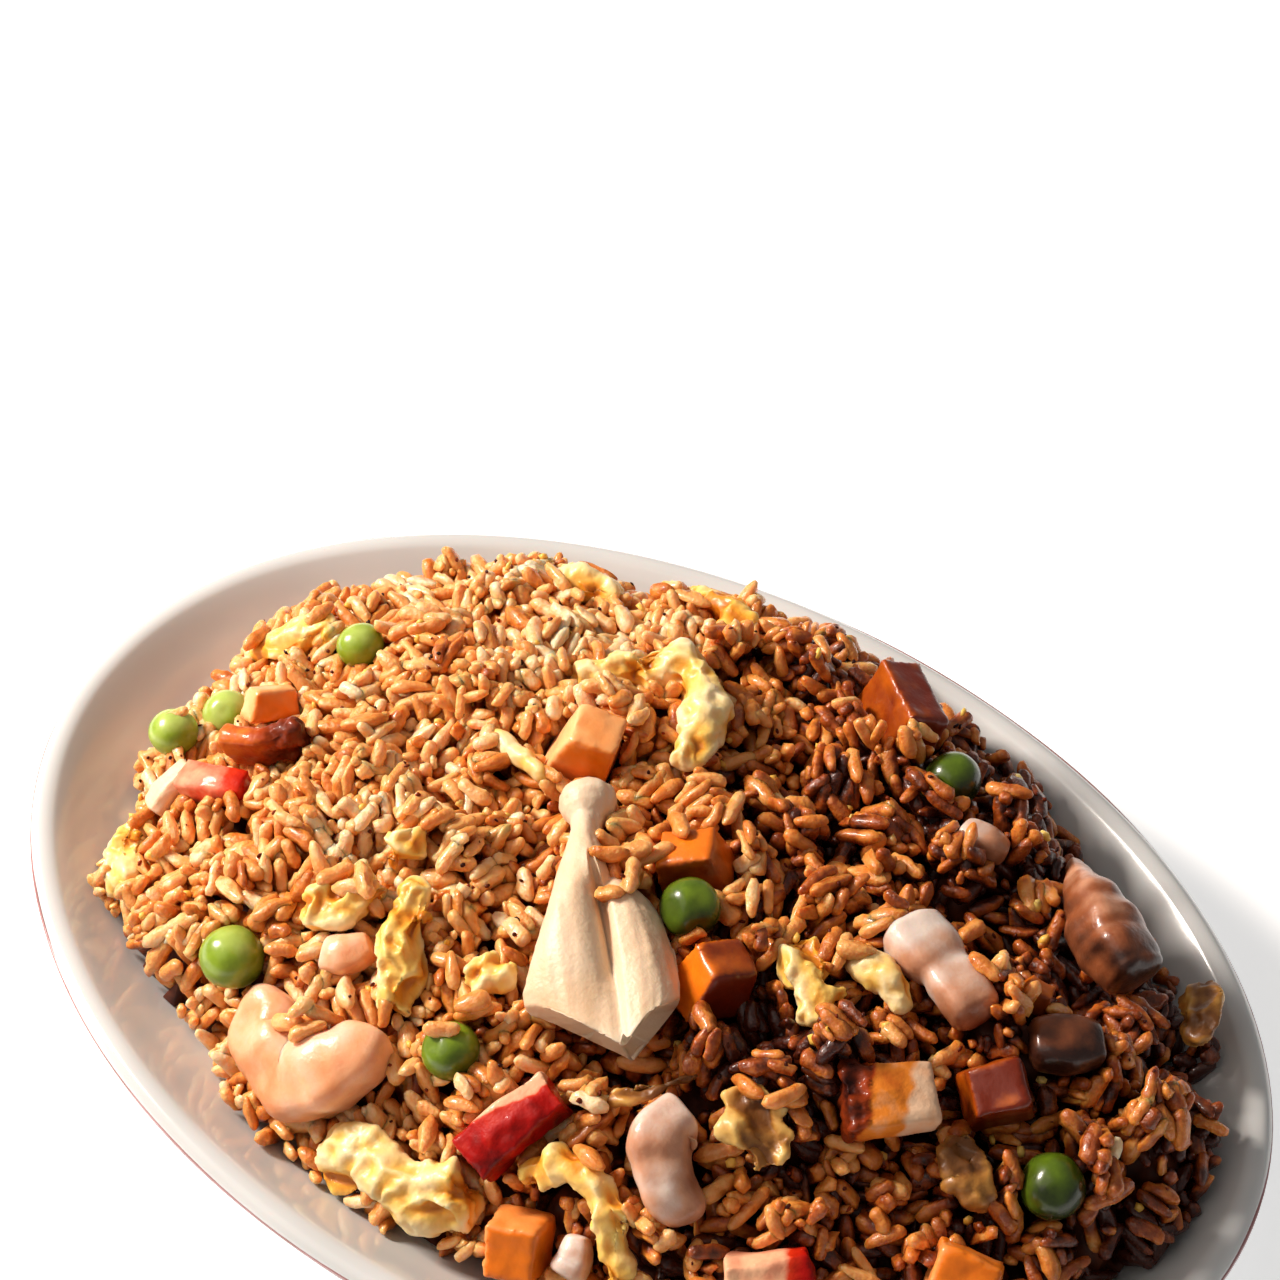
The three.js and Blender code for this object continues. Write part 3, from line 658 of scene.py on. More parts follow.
def cooked_rice(tree, place, stops):
    # Steamed long grain fried in soy and oil: translucent starch, stained unevenly, thinly oiled
    tone = add_node(tree, "ShaderNodeAttribute", attribute_name="tone").outputs["Fac"]
    blotch = add_node(tree, "ShaderNodeTexNoise", {"Vector": place, "Scale": per_mm(1.8), "Detail": 4.0})
    patch = add_node(tree, "ShaderNodeTexNoise", {"Vector": place, "Scale": per_mm(17), "Detail": 1.0})
    both = add_node(tree, "ShaderNodeMath", {0: blotch.outputs[0], 1: patch.outputs[0]}, operation="ADD")
    spread = add_node(tree, "ShaderNodeMath", {0: both.outputs[0], 1: 0.6, 2: -0.6},
                      operation="MULTIPLY_ADD")
    shade = add_node(tree, "ShaderNodeMath", {0: spread.outputs[0], 1: tone}, operation="ADD")
    colour = add_node(tree, "ShaderNodeValToRGB", {"Fac": shade.outputs[0]}, stops)
    relief = worn_relief(tree, place, 0.7, 4.0, 0.8, 0.4)
    gloss = add_node(tree, "ShaderNodeMapRange",
                     {"Value": blotch.outputs[0], "To Min": 0.22, "To Max": 0.5})
    return {"Base Color": colour.outputs[0], "Roughness": gloss.outputs[0], "IOR": 1.45,
            "Subsurface Weight": 0.85, "Subsurface Radius": (1.0, 0.6, 0.36), "Subsurface Scale": 0.0016,
            "Coat Weight": 0.3, "Coat Roughness": 0.1, "Normal": relief}


def painted_shade_core(tree, place):
    # Grains deep in the heap, dark as painted shade in the gaps between the grains over them
    colour = stained_colour(tree, place, 3, 3.0, [(0.3, "#341006"), (0.7, "#6E300E")])
    return {"Base Color": colour, "Roughness": 0.5, "IOR": 1.45}


def pea_skin(tree, place):
    # Thin waxy skin over soft green flesh, a little wrinkled
    colour = toned_colour(tree, place, 2.5, 3.0, 0.4,
                          [(0.0, "#24300A"), (0.35, "#566E12"), (0.7, "#8CA628"), (1.0, "#B6C864")])
    relief = worn_relief(tree, place, 1.6, 2.0, 0.16, 0.4)
    return {"Base Color": colour, "Roughness": 0.27, "IOR": 1.45, "Subsurface Weight": 0.3,
            "Subsurface Radius": (0.7, 1.0, 0.3), "Subsurface Scale": 0.0015, "Coat Weight": 0.25,
            "Coat Roughness": 0.12, "Normal": relief}


def cooked_carrot(tree, place):
    # Knife cut carrot, soft at its edges, with paler and darker flecks
    colour = toned_colour(tree, place, 5, 4.0, 0.5,
                          [(0.0, "#742002"), (0.5, "#F88010"), (1.0, "#FCBE80")])
    relief = worn_relief(tree, place, 0.8, 2.0, 0.2, 0.3)
    return {"Base Color": colour, "Roughness": 0.33, "IOR": 1.45, "Subsurface Weight": 0.3,
            "Subsurface Radius": (1.0, 0.6, 0.3), "Subsurface Scale": 0.0012, "Coat Weight": 0.15,
            "Coat Roughness": 0.15, "Normal": relief}


def roast_pork(tree, place, stops):
    # Barbecued pork: tone runs from the lacquered crust to the pale meat of a cut face
    colour = toned_colour(tree, place, 3.2, 4.0, 0.6, stops)
    relief = worn_relief(tree, place, 1.1, 3.0, 0.4, 0.4)
    return {"Base Color": colour, "Roughness": 0.45, "IOR": 1.4, "Specular IOR Level": 0.2,
            "Coat Weight": 0.18, "Coat Roughness": 0.06, "Normal": relief}


def poached_chicken(tree, place):
    # White meat in long fibres; its tone is darker on the side away from the lamp, as painted shade
    colour = toned_colour(tree, place, 7, 4.0, 0.5,
                          [(0.0, "#BE8A5C"), (0.4, "#E4C09A"), (1.0, "#F0DCC2")])
    relief = worn_relief(tree, place, 0.6, 2.0, 0.3, 0.3)
    return {"Base Color": colour, "Roughness": 0.46, "IOR": 1.45, "Subsurface Weight": 0.3,
            "Subsurface Radius": (1.0, 0.55, 0.35), "Subsurface Scale": 0.002, "Normal": relief}


def cooked_prawn(tree, place, stops):
    # Firm translucent flesh, white with pink where the shell lay, wet
    colour = toned_colour(tree, place, 4, 5.0, 0.6, stops)
    relief = worn_relief(tree, place, 0.7, 3.0, 0.3, 0.3)
    return {"Base Color": colour, "Roughness": 0.32, "IOR": 1.42, "Subsurface Weight": 0.7,
            "Subsurface Radius": (1.0, 0.6, 0.4), "Subsurface Scale": 0.0025, "Coat Weight": 0.25,
            "Coat Roughness": 0.08, "Normal": relief}


def scrambled_egg(tree, place, stops):
    # Soft set curd: pale yellow, paler on the crests of its folds and golden in the hollows as painted
    # light and shade, and golden where it met the pan
    colour = toned_colour(tree, place, 4, 4.0, 0.5, stops)
    relief = worn_relief(tree, place, 0.8, 3.0, 0.3, 0.4)
    return {"Base Color": colour, "Roughness": 0.42, "IOR": 1.45, "Subsurface Weight": 0.45,
            "Subsurface Radius": (1.0, 0.8, 0.5), "Subsurface Scale": 0.0015, "Coat Weight": 0.12,
            "Coat Roughness": 0.15, "Normal": relief}


RICE_STOPS = [(0.0, "#481604"), (0.2, "#9E4A12"), (0.45, "#DC8836"), (0.72, "#F2B26C"), (1.0, "#FAD8B0")]
GLAZE_STOPS = [(0.0, "#320302"), (0.3, "#AA0802"), (0.6, "#D63414"), (1.0, "#F0B68E")]
CARAMEL_STOPS = [(0.0, "#320C05"), (0.35, "#A83E0E"), (0.65, "#E08028"), (1.0, "#E6BE9C")]
EGG_STOPS = [(0.0, "#C87412"), (0.22, "#EFA22C"), (0.5, "#F8C864"), (1.0, "#F9E0AE")]
PRAWN_STOPS = [(0.0, "#B85E36"), (0.25, "#E08C54"), (0.55, "#F0AE80"), (1.0, "#F4D2BA")]
GREY_PRAWN_STOPS = [(0.0, "#381A10"), (0.35, "#92522F"), (0.65, "#CC9676"), (1.0, "#E2D0C4")]
FRIED_EGG_STOPS = [(0.0, "#7A4A1C"), (0.3, "#B57C34"), (0.6, "#DDAF5C"), (1.0, "#EFD08C")]

plate_glaze = new_material("glazed_stoneware", glazed_stoneware)
edge_paint = new_material("painted_edge_line", painted_line)
rice_starch = new_material("cooked_rice", cooked_rice, RICE_STOPS)
core_shade_material = new_material("painted_shade_core", painted_shade_core)
pea_green = new_material("pea_skin", pea_skin)
carrot_flesh = new_material("cooked_carrot", cooked_carrot)
pork_lacquer = new_material("lacquered_pork", roast_pork, GLAZE_STOPS)
pork_caramel = new_material("caramelised_pork", roast_pork, CARAMEL_STOPS)
chicken_meat = new_material("poached_chicken", poached_chicken)
prawn_flesh = new_material("cooked_prawn", cooked_prawn, PRAWN_STOPS)
prawn_grey = new_material("greyish_prawn", cooked_prawn, GREY_PRAWN_STOPS)
egg_curd = new_material("scrambled_egg", scrambled_egg, EGG_STOPS)
egg_fried = new_material("browned_egg", scrambled_egg, FRIED_EGG_STOPS)


# Paths and forms of the larger pieces

def rounded(path, steps):
    """Path through points, with smooth curves between them."""
    path = np.array(path, float)
    padded = np.concatenate([2 * path[:1] - path[1:2], path, 2 * path[-1:] - path[-2:-1]])
    made = []
    for a, b, c, d in zip(padded, padded[1:], padded[2:], padded[3:]):
        for share in np.arange(steps) / steps:
            made.append(0.5 * (2 * b + (c - a) * share + (2 * a - 5 * b + 4 * c - d) * share ** 2
                               + (3 * b - a - 3 * c + d) * share ** 3))
    return made + [path[-1]]


def heap_up(x, y):
    """Direction out of the heap at a place, taken over a few millimetres."""
    step = int(5 / CELL)
    row, column = cell_of(np.array([x]), np.array([y]))
    row = np.clip(row[0], step, len(ys) - 1 - step)
    column = np.clip(column[0], step, len(xs) - 1 - step)
    slope_x = (bare_heap[row, column + step] - bare_heap[row, column - step]) / 10
    slope_y = (bare_heap[row + step, column] - bare_heap[row - step, column]) / 10
    return unit([-slope_x, -slope_y, 1.0])


def middle_line(name, places):
    """Points through the middle of a CAD node, above or below places on the table."""
    points, faces = node_mesh(name)
    tree = BVHTree.FromPolygons(points.tolist(), faces[:, :3].tolist())
    centre = points.mean(0)
    line = []
    for x, y in places:
        top = bottom = None
        for share in (0, 0.1, 0.2, 0.35, 0.5):
            u, v = x + (centre[0] - x) * share, y + (centre[1] - y) * share
            top = tree.ray_cast(Vector((u, v, DROP_HEIGHT)), Vector((0, 0, -1)))[0]
            bottom = tree.ray_cast(Vector((u, v, -9)), Vector((0, 0, 1)))[0]
            if top is not None and bottom is not None:
                break
        line.append([x, y, (top.z + bottom.z) / 2])
    return np.array(line)


def stops_along(line, count):
    """Evenly spaced stops on a smooth line: place, direction along, across and up."""
    curve = np.array(rounded(line, 24))
    length = np.concatenate([[0], np.cumsum(np.linalg.norm(np.diff(curve, axis=0), axis=1))])
    even = np.linspace(0, length[-1], count)
    place = np.stack([np.interp(even, length, curve[:, axis]) for axis in range(3)], 1)
    along = np.gradient(place, axis=0)
    along /= np.linalg.norm(along, axis=1, keepdims=True)
    some = np.linspace(0, count - 1, 5)
    ups = np.array([heap_up(*place[int(index), :2]) for index in some])
    up = np.stack([np.interp(np.arange(count), some, ups[:, axis]) for axis in range(3)], 1)
    across = np.cross(up, along)
    across /= np.linalg.norm(across, axis=1, keepdims=True)
    return place, along, across, np.cross(along, across)


def drawn_out(line, form, count, sides):
    """Skin drawn along a line; form gives along, across and up for a share and an angle."""
    place, along, across, up = stops_along(line, count)
    turn = 2 * np.pi * np.arange(sides) / sides
    rings = []
    for index, share in enumerate(np.linspace(0, 1, count)):
        forward, side, rise = form(share, turn)
        rings.append(place[index] + np.outer(forward, along[index]) + np.outer(side, across[index])
                     + np.outer(rise, up[index]))
    start = rings[0].mean(0, keepdims=True)
    end = rings[-1].mean(0, keepdims=True)
    return np.concatenate([start, *rings, end]), ring_faces(count, sides)


def along_table(rows, share):
    """Values of a table at one share of the length, read between its rows."""
    shares, *columns = np.array(rows, float).T
    return [float(np.interp(share, shares, column)) for column in columns]


def roughened(points, faces, size, height, seed, stretch=None):
    """Surface with soft uneven lumps."""
    place = points if stretch is None else stretch
    return points + outward(points, faces) * (height * smooth_noise(place, size, seed))[:, None]


def stretched_along(points, direction, times):
    """Places squeezed along one direction, so that noise read there is drawn out along it."""
    direction = unit(direction)
    return points - np.outer(points @ direction * (1 - 1 / times), direction)


# Plate

PLATE_TURN = 2 * np.pi * np.arange(PLATE_SIDES) / PLATE_SIDES


def oval(inset, height):
    """Ring of points at an inset from the plate's outside edge."""
    return np.stack([(PLATE_HALF_LENGTH - inset) * np.cos(PLATE_TURN),
                     (PLATE_HALF_WIDTH - inset) * np.sin(PLATE_TURN), height + 0 * PLATE_TURN], 1)


def lathe(path):
    """Oval skin from rings of inset and height, closed at both ends in the middle."""
    waves = 0.12 * np.sin(3 * PLATE_TURN + 0.7) + 0.08 * np.sin(7 * PLATE_TURN + 2.0)
    rings = []
    for inset, height in path:
        rings.append(oval(inset, height + np.minimum(waves if height > 15 else 0, 0)))
    start = [[0, 0, path[0][1]]]
    end = [[0, 0, path[-1][1]]]
    return np.concatenate([start, *rings, end]), ring_faces(len(rings), PLATE_SIDES)


def edge_band():
    """Painted line round the plate's edge, as a thin ring that stands a hair proud of the glaze."""
    wide = EDGE_LINE_WIDTH * (1 + 0.25 * np.sin(5 * PLATE_TURN + 1) + 0.2 * np.sin(13 * PLATE_TURN))
    rings = []
    for inset, share in ((0.35, 0.5), (-EDGE_LINE_PROUD, 0.4), (-EDGE_LINE_PROUD, -0.4), (0.35, -0.5)):
        rings.append(oval(inset, EDGE_LINE_HEIGHT + share * wide))
    here = np.arange(PLATE_SIDES)
    after = (here + 1) % PLATE_SIDES
    faces = []
    for low in range(4):
        start, end = low * PLATE_SIDES, (low + 1) % 4 * PLATE_SIDES
        faces.append(np.stack([start + after, start + here, end + here, end + after], 1))
    return np.concatenate(rings), np.concatenate(faces)


outline = PLATE_UNDERSIDE + rounded(PLATE_WALL + PLATE_LIP + PLATE_INSIDE, PLATE_STEPS)
points, faces = lathe(outline)
plate = mesh_object("platter", points, faces, plate_glaze, "glaze")
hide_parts("plate")

line = mesh_object("edge_line", *edge_band(), edge_paint, "glaze")
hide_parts("plate")


# Toppings, each on its own CAD solid

made_toppings = {}

# Skin of the remeshed toppings: size of its cells, and how many times it is smoothed
SKIN = {"carrot": (0.5, 8), "pork": (0.38, 4), "chicken": (0.3, 5), "egg": (0.36, 4)}


def topping(name, points, faces, material, slot, tones=None):
    """Topping in place of its CAD node."""
    made = mesh_object(name + "_cooked", points, faces, material, slot, tones)
    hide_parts(name)
    made_toppings[name] = (points, faces)


def facing(points, faces, direction, low=0.35, high=0.75):
    """How far each point's surface faces a direction, from 0 to 1."""
    share = np.clip((outward(points, faces) @ unit(direction) - low) / (high - low), 0, 1)
    return share * share * (3 - 2 * share)


def dented(points, centre, direction, depth, wide):
    """Round body pressed in on one side."""
    out = (points - centre) / np.linalg.norm(points - centre, axis=1, keepdims=True)
    return points - out * (depth * np.exp(-(1 - out @ unit(direction)) / wide))[:, None]


PEA_DETAIL = 4

# Peas: direction, depth and width of each dent
PEA_DENTS = {
    "pea_6": [((0.6, -0.1, 0.9), 0.5, 0.12), ((-0.2, -0.9, 0.5), 0.6, 0.12),
              ((0.9, -0.6, 0.2), 0.5, 0.1)],
    "pea_8": [((0.5, -0.6, 0.8), 0.3, 0.06), ((-0.8, -0.4, 0.5), 0.4, 0.08)],
    "pea_2": [((0.4, -0.5, 0.8), 0.4, 0.05)],
    "pea_5": [((-0.3, -0.6, 0.7), 0.4, 0.04)],
}

# Tone of each pea's green, which differs from pea to pea; the low tones of peas 6, 7 and 8 are painted
# shade where they lie
PEA_TONES = [0.8, 0.8, 0.7, 0.62, 0.4, 0.28, 0.05, 0.1]

for number, tone in enumerate(PEA_TONES, 1):
    name = f"pea_{number}"
    centre, half = middle_of(name)
    points, faces = ball(centre, half * 0.99, PEA_DETAIL)
    for direction, depth, wide in PEA_DENTS.get(name, []):
        points = dented(points, centre, direction, depth, wide)
    points = roughened(points, faces, 3.2, 0.16, number)
    points = roughened(points, faces, 1.1, 0.04, number + 9)
    # Painted shade on the side away from the lamp, and painted light on the top
    shade = tone - 0.25 * facing(points, faces, (0.7, -0.1, -0.5), 0, 0.9)
    shade = shade + 0.2 * facing(points, faces, (0.1, 0.3, 0.9), 0.5, 0.95)
    topping(name, points, faces, pea_green, "pea", shade + 0.16 * smooth_noise(points, 3, number))

# Carrots: tone of each, from dark at 0 to pale orange at 1; the low tones of carrots 3, 4 and 5 are
# partly painted shade where they lie
CARROT_TONES = [0.8, 0.3, 0.1, 0.02, -0.1, 0.6, 0.55, 0.8, 0.3]

# How much paler each is on the side that faces the light
CARROT_PALE = [0.3, 0.1, 0.3, 0.1, 0.2, 0.1, 0.1, 0.1, 0]

for number, tone in enumerate(CARROT_TONES, 1):
    name = f"carrot_{number}"
    points, faces = remeshed(*node_mesh(name), *SKIN["carrot"])
    points = roughened(points, faces, 5, 0.45, number)
    points = roughened(points, faces, 1.6, 0.1, number + 20)
    # Painted light on the side towards the lamp, and painted shade on the side away from it
    pale = CARROT_PALE[number - 1] * facing(points, faces, (-0.8, -0.3, 0.5))
    shaded = 0.25 * facing(points, faces, (0.75, -0.5, 0), 0.3, 0.8)
    topping(name, points, faces, carrot_flesh, "carrot", tone + pale - shaded)

# Pork: material, slot, direction across the piece, and tones from one side to the other along it
PORKS = [
    (pork_lacquer, "pork_glaze", (-0.77, 0.19, 0.62),
     [(-1, 0.1), (0, 0.24), (0.55, 0.36), (0.62, 0.95), (1, 0.97)]),
    (pork_lacquer, "pork_meat", (0.8, 0.6, 0), [(-1, 0.98), (0.35, 0.95), (0.5, 0.45), (1, 0.2)]),
    (pork_caramel, "pork_glaze", (0.87, 0.47, -0.14),
     [(-1, 0.04), (-0.45, 0.14), (-0.35, 0.62), (0.3, 0.66), (0.4, 0.98), (1, 0.95)]),
    (pork_caramel, "pork_glaze", (0.8, 0.6, 0), [(-1, 0.5), (0, 0.34), (0.4, 0.14), (1, 0.1)]),
    (pork_lacquer, "pork_meat", (0.8, 0.6, 0), [(-1, 0.84), (0, 0.76), (0.5, 0.58), (1, 0.34)]),
]

for number, (material, slot, direction, stops) in enumerate(PORKS, 1):
    name = f"barbecued_pork_{number}"
    points, faces = remeshed(*node_mesh(name), *SKIN["pork"])
    long_way = points.max(0) - points.min(0)
    grain = stretched_along(points, long_way * [1, 1, 0], 5)
    points = roughened(points, faces, 1.6, 0.2, number, grain)
    points = roughened(points, faces, 4, 0.4, number + 5)
    far = (points - points.mean(0)) @ np.array(direction)
    ragged = 0.08 * smooth_noise(points, 1.5, number)
    place = far / np.abs(far).max() + ragged + 0.1 * smooth_noise(points, 4, number)
    tone = np.interp(place, *np.array(stops).T)
    crust = np.clip((0.4 - tone) / 0.2, 0, 1) * (0.3 if material is pork_lacquer else 0.9)
    bumps = smooth_noise(points, 1.9, number + 8) + 0.5 * smooth_noise(points, 0.9, number + 9)
    points = points + outward(points, faces) * (crust * bumps)[:, None]
    topping(name, points, faces, material, slot, tone + 0.12 * crust * bumps)

CHICKEN_RINGS = 130
CHICKEN_SIDES = 112
CHICKEN_LINE = [(-7.4, 1.4), (5.6, -13.8), (20.6, -29.2)]

# Large piece of chicken, from its knob over a thin neck to the cut end: share of the length, width
# left and right of the line, height of the left and right lobe over it, depth under it
CHICKEN_ROWS = [
    [0, 1.2, 1.2, 1.2, 1.2, 1.2],
    [0.02, 2.9, 2.9, 2.8, 2.8, 3.0],
    [0.05, 4.0, 4.1, 3.9, 3.9, 4.0],
    [0.09, 4.3, 4.2, 4.3, 4.2, 4.2],
    [0.13, 3.7, 3.5, 3.8, 3.6, 3.8],
    [0.17, 2.6, 2.3, 2.9, 2.7, 2.8],
    [0.21, 2.6, 1.8, 3.1, 2.2, 2.6],
    [0.3, 3.4, 2.0, 3.9, 1.4, 2.8],
    [0.39, 4.5, 2.8, 4.6, 1.2, 3.0],
    [0.45, 5.4, 4.8, 4.9, 2.4, 3.0],
    [0.53, 6.6, 7.4, 5.0, 3.5, 2.8],
    [0.62, 7.9, 9.0, 5.0, 4.0, 2.6],
    [0.78, 9.8, 10.2, 4.7, 4.1, 2.2],
    [0.92, 11.2, 10.2, 4.2, 3.9, 1.8],
    [0.985, 11.2, 9.9, 3.9, 3.7, 1.4],
    [1, 10.9, 9.6, 3.6, 3.5, 1.2],
]

# Point of the cut end: place across, from the left edge at -1 to the right edge at 1, and length
CHICKEN_TIP = 0.2
CHICKEN_POINT = 10.5

# Groove between the lobes: share of the length, depth, and how far the lobes have grown together
CHICKEN_GROOVE = [
    [0.36, 0, 0],
    [0.44, 2.2, 0],
    [0.56, 2.6, 0.1],
    [0.7, 1.4, 0.5],
    [0.84, 0.6, 0.8],
    [1, 0.2, 0.9],
]

# Top of the flat lobe across it: place from the left edge at -1 to the right edge at 1, height
CHICKEN_SLAB = [[-0.1, 0], [0.1, 0.5], [0.2, 0.95], [0.5, 1.08], [0.66, 1.0], [0.86, 0.5], [1, 0]]


def chicken_form(share, turn):
    """Outline of the chicken at a share of its length: a round lobe, a groove and a flatter lobe."""
    left, right, round_rise, flat_rise, deep = along_table(CHICKEN_ROWS, share)
    groove, filled = along_table(CHICKEN_GROOVE, share)
    parted = min(1, max(0, (share - 0.36) / 0.16))
    across = np.cos(turn)
    from_lobe = (across + 0.42 * parted) / (1 - 0.42 * parted)
    round_top = round_rise * np.sqrt(np.clip(1 - from_lobe ** 2, 0, 1))
    slab = flat_rise * parted * np.interp(across, *np.array(CHICKEN_SLAB).T)
    cut = groove * np.exp(-((across - 0.13) / 0.07) ** 2)
    edge = 2 + 3 * parted
    rim = (1 - np.abs(across) ** edge) ** (1 / edge)
    between = filled * flat_rise * np.clip((1 - np.abs(across)) * 4, 0, 1)
    top = np.maximum(np.maximum(np.maximum(round_top, slab), between) - cut, 0.25 * parted * rim)
    rise = np.where(np.sin(turn) > 0, top, -deep * rim)
    side = np.where(across < 0, left, right) * across
    point = 0.45 - np.abs(across - CHICKEN_TIP) / (1 + CHICKEN_TIP)
    forward = CHICKEN_POINT * point * max(0, (share - 0.5) / 0.5) ** 1.5
    return forward, side, rise


def chicken_piece():
    """The large piece, with fibres along it."""
    points, faces = drawn_out(middle_line("chicken_1", CHICKEN_LINE), chicken_form,
                              CHICKEN_RINGS, CHICKEN_SIDES)
    direction = [30.4, -32.8, -9]
    for size, height, seed, times in ((5, 0.4, 4, 2), (1.7, 0.17, 3, 8), (0.8, 0.08, 6, 8)):
        fibres = stretched_along(points, direction, times)
        points = roughened(points, faces, size, height, seed, fibres)
    return roughened(points, faces, 0.7, 0.05, 5), faces


points, faces = chicken_piece()
fibres = smooth_noise(stretched_along(points, (30, -32, -9), 9), 0.9, 12)
blotch = 0.62 + 0.2 * smooth_noise(points, 7, 8) + 0.1 * fibres
# Painted shade on the side that faces away from the lamp
blotch = blotch - 0.3 * facing(points, faces, (0.6, 0.3, -0.3))
topping("chicken_1", points, faces, chicken_meat, "chicken", blotch)

points, faces = remeshed(*node_mesh("chicken_2"), *SKIN["chicken"])
points = roughened(points, faces, 1.3, 0.2, 6, stretched_along(points, (0.2, 1, 0), 6))
topping("chicken_2", points, faces, chicken_meat, "chicken", np.full(len(points), 0.55))

# Prawns: line over the heap, half width, half height, share left at the tail, shell rings, how deep
# the rings are, tone at the start and at the end of the line, and material; the low tones of
# prawns 4 and 6 on the heap's right are partly painted shade
PRAWNS = [
    ([(-26, -44.6), (-25.4, -50.4), (-17, -53), (-10.6, -49), (-10.8, -44)], 5.3, 4.5, 1.22, 3, 0.015,
     0.36, 0.56, prawn_flesh),
    ([(-23.6, -39.2), (-20, -37.8), (-17.6, -34.6)], 3.2, 2.8, 0.8, 1.5, 0.01, 0.8, 0.3, prawn_flesh),
    ([(43.6, 8.6), (50.8, 5.7), (60, 1.6)], 4.8, 4.2, 0.85, 1, 0.09, 0.9, 0.5, prawn_grey),
    ([(52.6, 40.4), (60, 33), (67, 27.4), (73, 24)], 3.8, 4, 1.5, 5, 0.012, 0.4, 0.1, prawn_grey),
    ([(35, -31.4), (34.4, -36), (37.6, -40), (43, -41.6)], 4.5, 4.2, 0.7, 1, 0.01,
     0.7, 0.66, prawn_grey),
    ([(66.8, 4.4), (70.4, 7), (74, 10.4)], 3.6, 3.2, 0.9, 1, 0.0, 0.0, 0.06, prawn_grey),
    ([(31.2, -53.4), (31, -51), (30, -49)], 2.5, 2.6, 0.9, 1.5, 0.02, 0.85, 0.85, prawn_grey),
    ([(39, 31.3), (42.6, 31.6), (46, 32.5)], 3, 2.6, 0.8, 1.5, 0.01, 0.6, 0.6, prawn_grey),
]
PRAWN_RINGS = 72
PRAWN_SIDES = 40


def prawn_form(wide, high, tail, rings, shell):
    """Outline of a prawn: plump flesh in rings, with a furrow along the back."""
    def form(share, turn):
        body = math.sin(math.pi * (0.2 + 0.65 * share)) ** 0.4 * (1 - (1 - tail) * share ** 1.5)
        near = min(share, 1 - share) / 0.1
        ends = (1 - max(0, 1 - near) ** 2.6) ** 0.5
        phase = share * rings % 1
        ring = 1 + shell * math.cos(2 * math.pi * phase) - shell * math.exp(-((phase - 0.5) / 0.07) ** 2)
        size = body * ring * max(ends, 0.12) * (1 if tail < 1.4 else min(1, 0.36 + 1.1 * share))
        furrow = 1 - 0.05 * np.exp(-((turn - 1.9) / 0.3) ** 2)
        full = furrow * (np.abs(np.cos(turn)) ** 2.7 + np.abs(np.sin(turn)) ** 2.7) ** (-1 / 2.7)
        return 0 * turn, wide * size * np.cos(turn) * full, high * size * np.sin(turn) * full
    return form


for number, (places_on, wide, high, tail, rings, shell, first, last, material) in enumerate(PRAWNS, 1):
    name = f"prawn_{number}"
    form = prawn_form(wide, high, tail, rings, shell)
    points, faces = drawn_out(middle_line(name, places_on), form, PRAWN_RINGS, PRAWN_SIDES)
    points = roughened(points, faces, 6, 0.8, number)
    points = roughened(points, faces, 2.2, 0.22, number + 3)
    share = np.repeat(np.linspace(0, 1, PRAWN_RINGS), PRAWN_SIDES)
    share = np.concatenate([[0], share, [1]])
    striped = 0.05 * np.sin(2 * math.pi * rings * 2 * share + smooth_noise(points, 5, number))
    # Painted light on the faces towards the lamp
    lit = 0.16 * facing(points, faces, (-0.4, 0.1, 0.9), 0.3, 0.95)
    tone = first + (last - first) * share + striped + lit + 0.2 * smooth_noise(points, 3.5, number + 7)
    topping(name, points, faces, material, "prawn", tone)

# Egg: how much browner each curd is than the others
EGG_BROWN = {1: 0.1, 2: -0.1, 6: 0.2, 11: 0.0, 12: 0.5, 15: 0.6, 17: 0.4}
EGG_FRIED = (11, 12, 15, 17)


def folded(points, faces, direction, size, height, seed):
    """Surface gathered into crests that run along a direction, with soft hollows between them."""
    place = stretched_along(points, direction, 1.8)
    bent = [smooth_noise(points, 1.3 * size, seed + axis) for axis in (50, 51, 52)]
    place = place + 0.5 * size * np.stack(bent, 1)
    raised = 1 - np.abs(smooth_noise(place, size, seed)) ** 1.2
    return points + outward(points, faces) * (height * (raised - 0.75))[:, None], raised


def curd(name, number):
    """Scrambled egg: the CAD fold with crests drawn along it, and how far each point is raised."""
    body = node_mesh(name)
    centre, half = middle_of(name)
    size = min(1, float(np.min(half)) / 3)
    points, faces = remeshed(*body, *SKIN["egg"])
    long_way = np.linalg.svd(body[0] - body[0].mean(0), full_matrices=False)[2][0]
    points = roughened(points, faces, 5, 0.9 * size, number + 40)
    points, broad = folded(points, faces, long_way, 4.6, 2.6 * size, number)
    points, fine = folded(points, faces, long_way, 2.0, 0.9 * size, number + 30)
    points = roughened(points, faces, 1.3, 0.24, number + 5)
    return roughened(points, faces, 0.6, 0.08, number), faces, 0.65 * broad + 0.35 * fine


for number in range(1, 19):
    name = f"egg_{number}"
    points, faces, raised = curd(name, number)
    # Paler crests and darker hollows of the folds: painted light and shade
    tone = 1.8 * raised - 0.85 + 0.2 * smooth_noise(points, 3, number) - EGG_BROWN.get(number, 0)
    fried = number in EGG_FRIED
    material = egg_fried if fried else egg_curd
    topping(name, points, faces, material, "egg_browned" if fried else "egg", tone)


# Core and grains

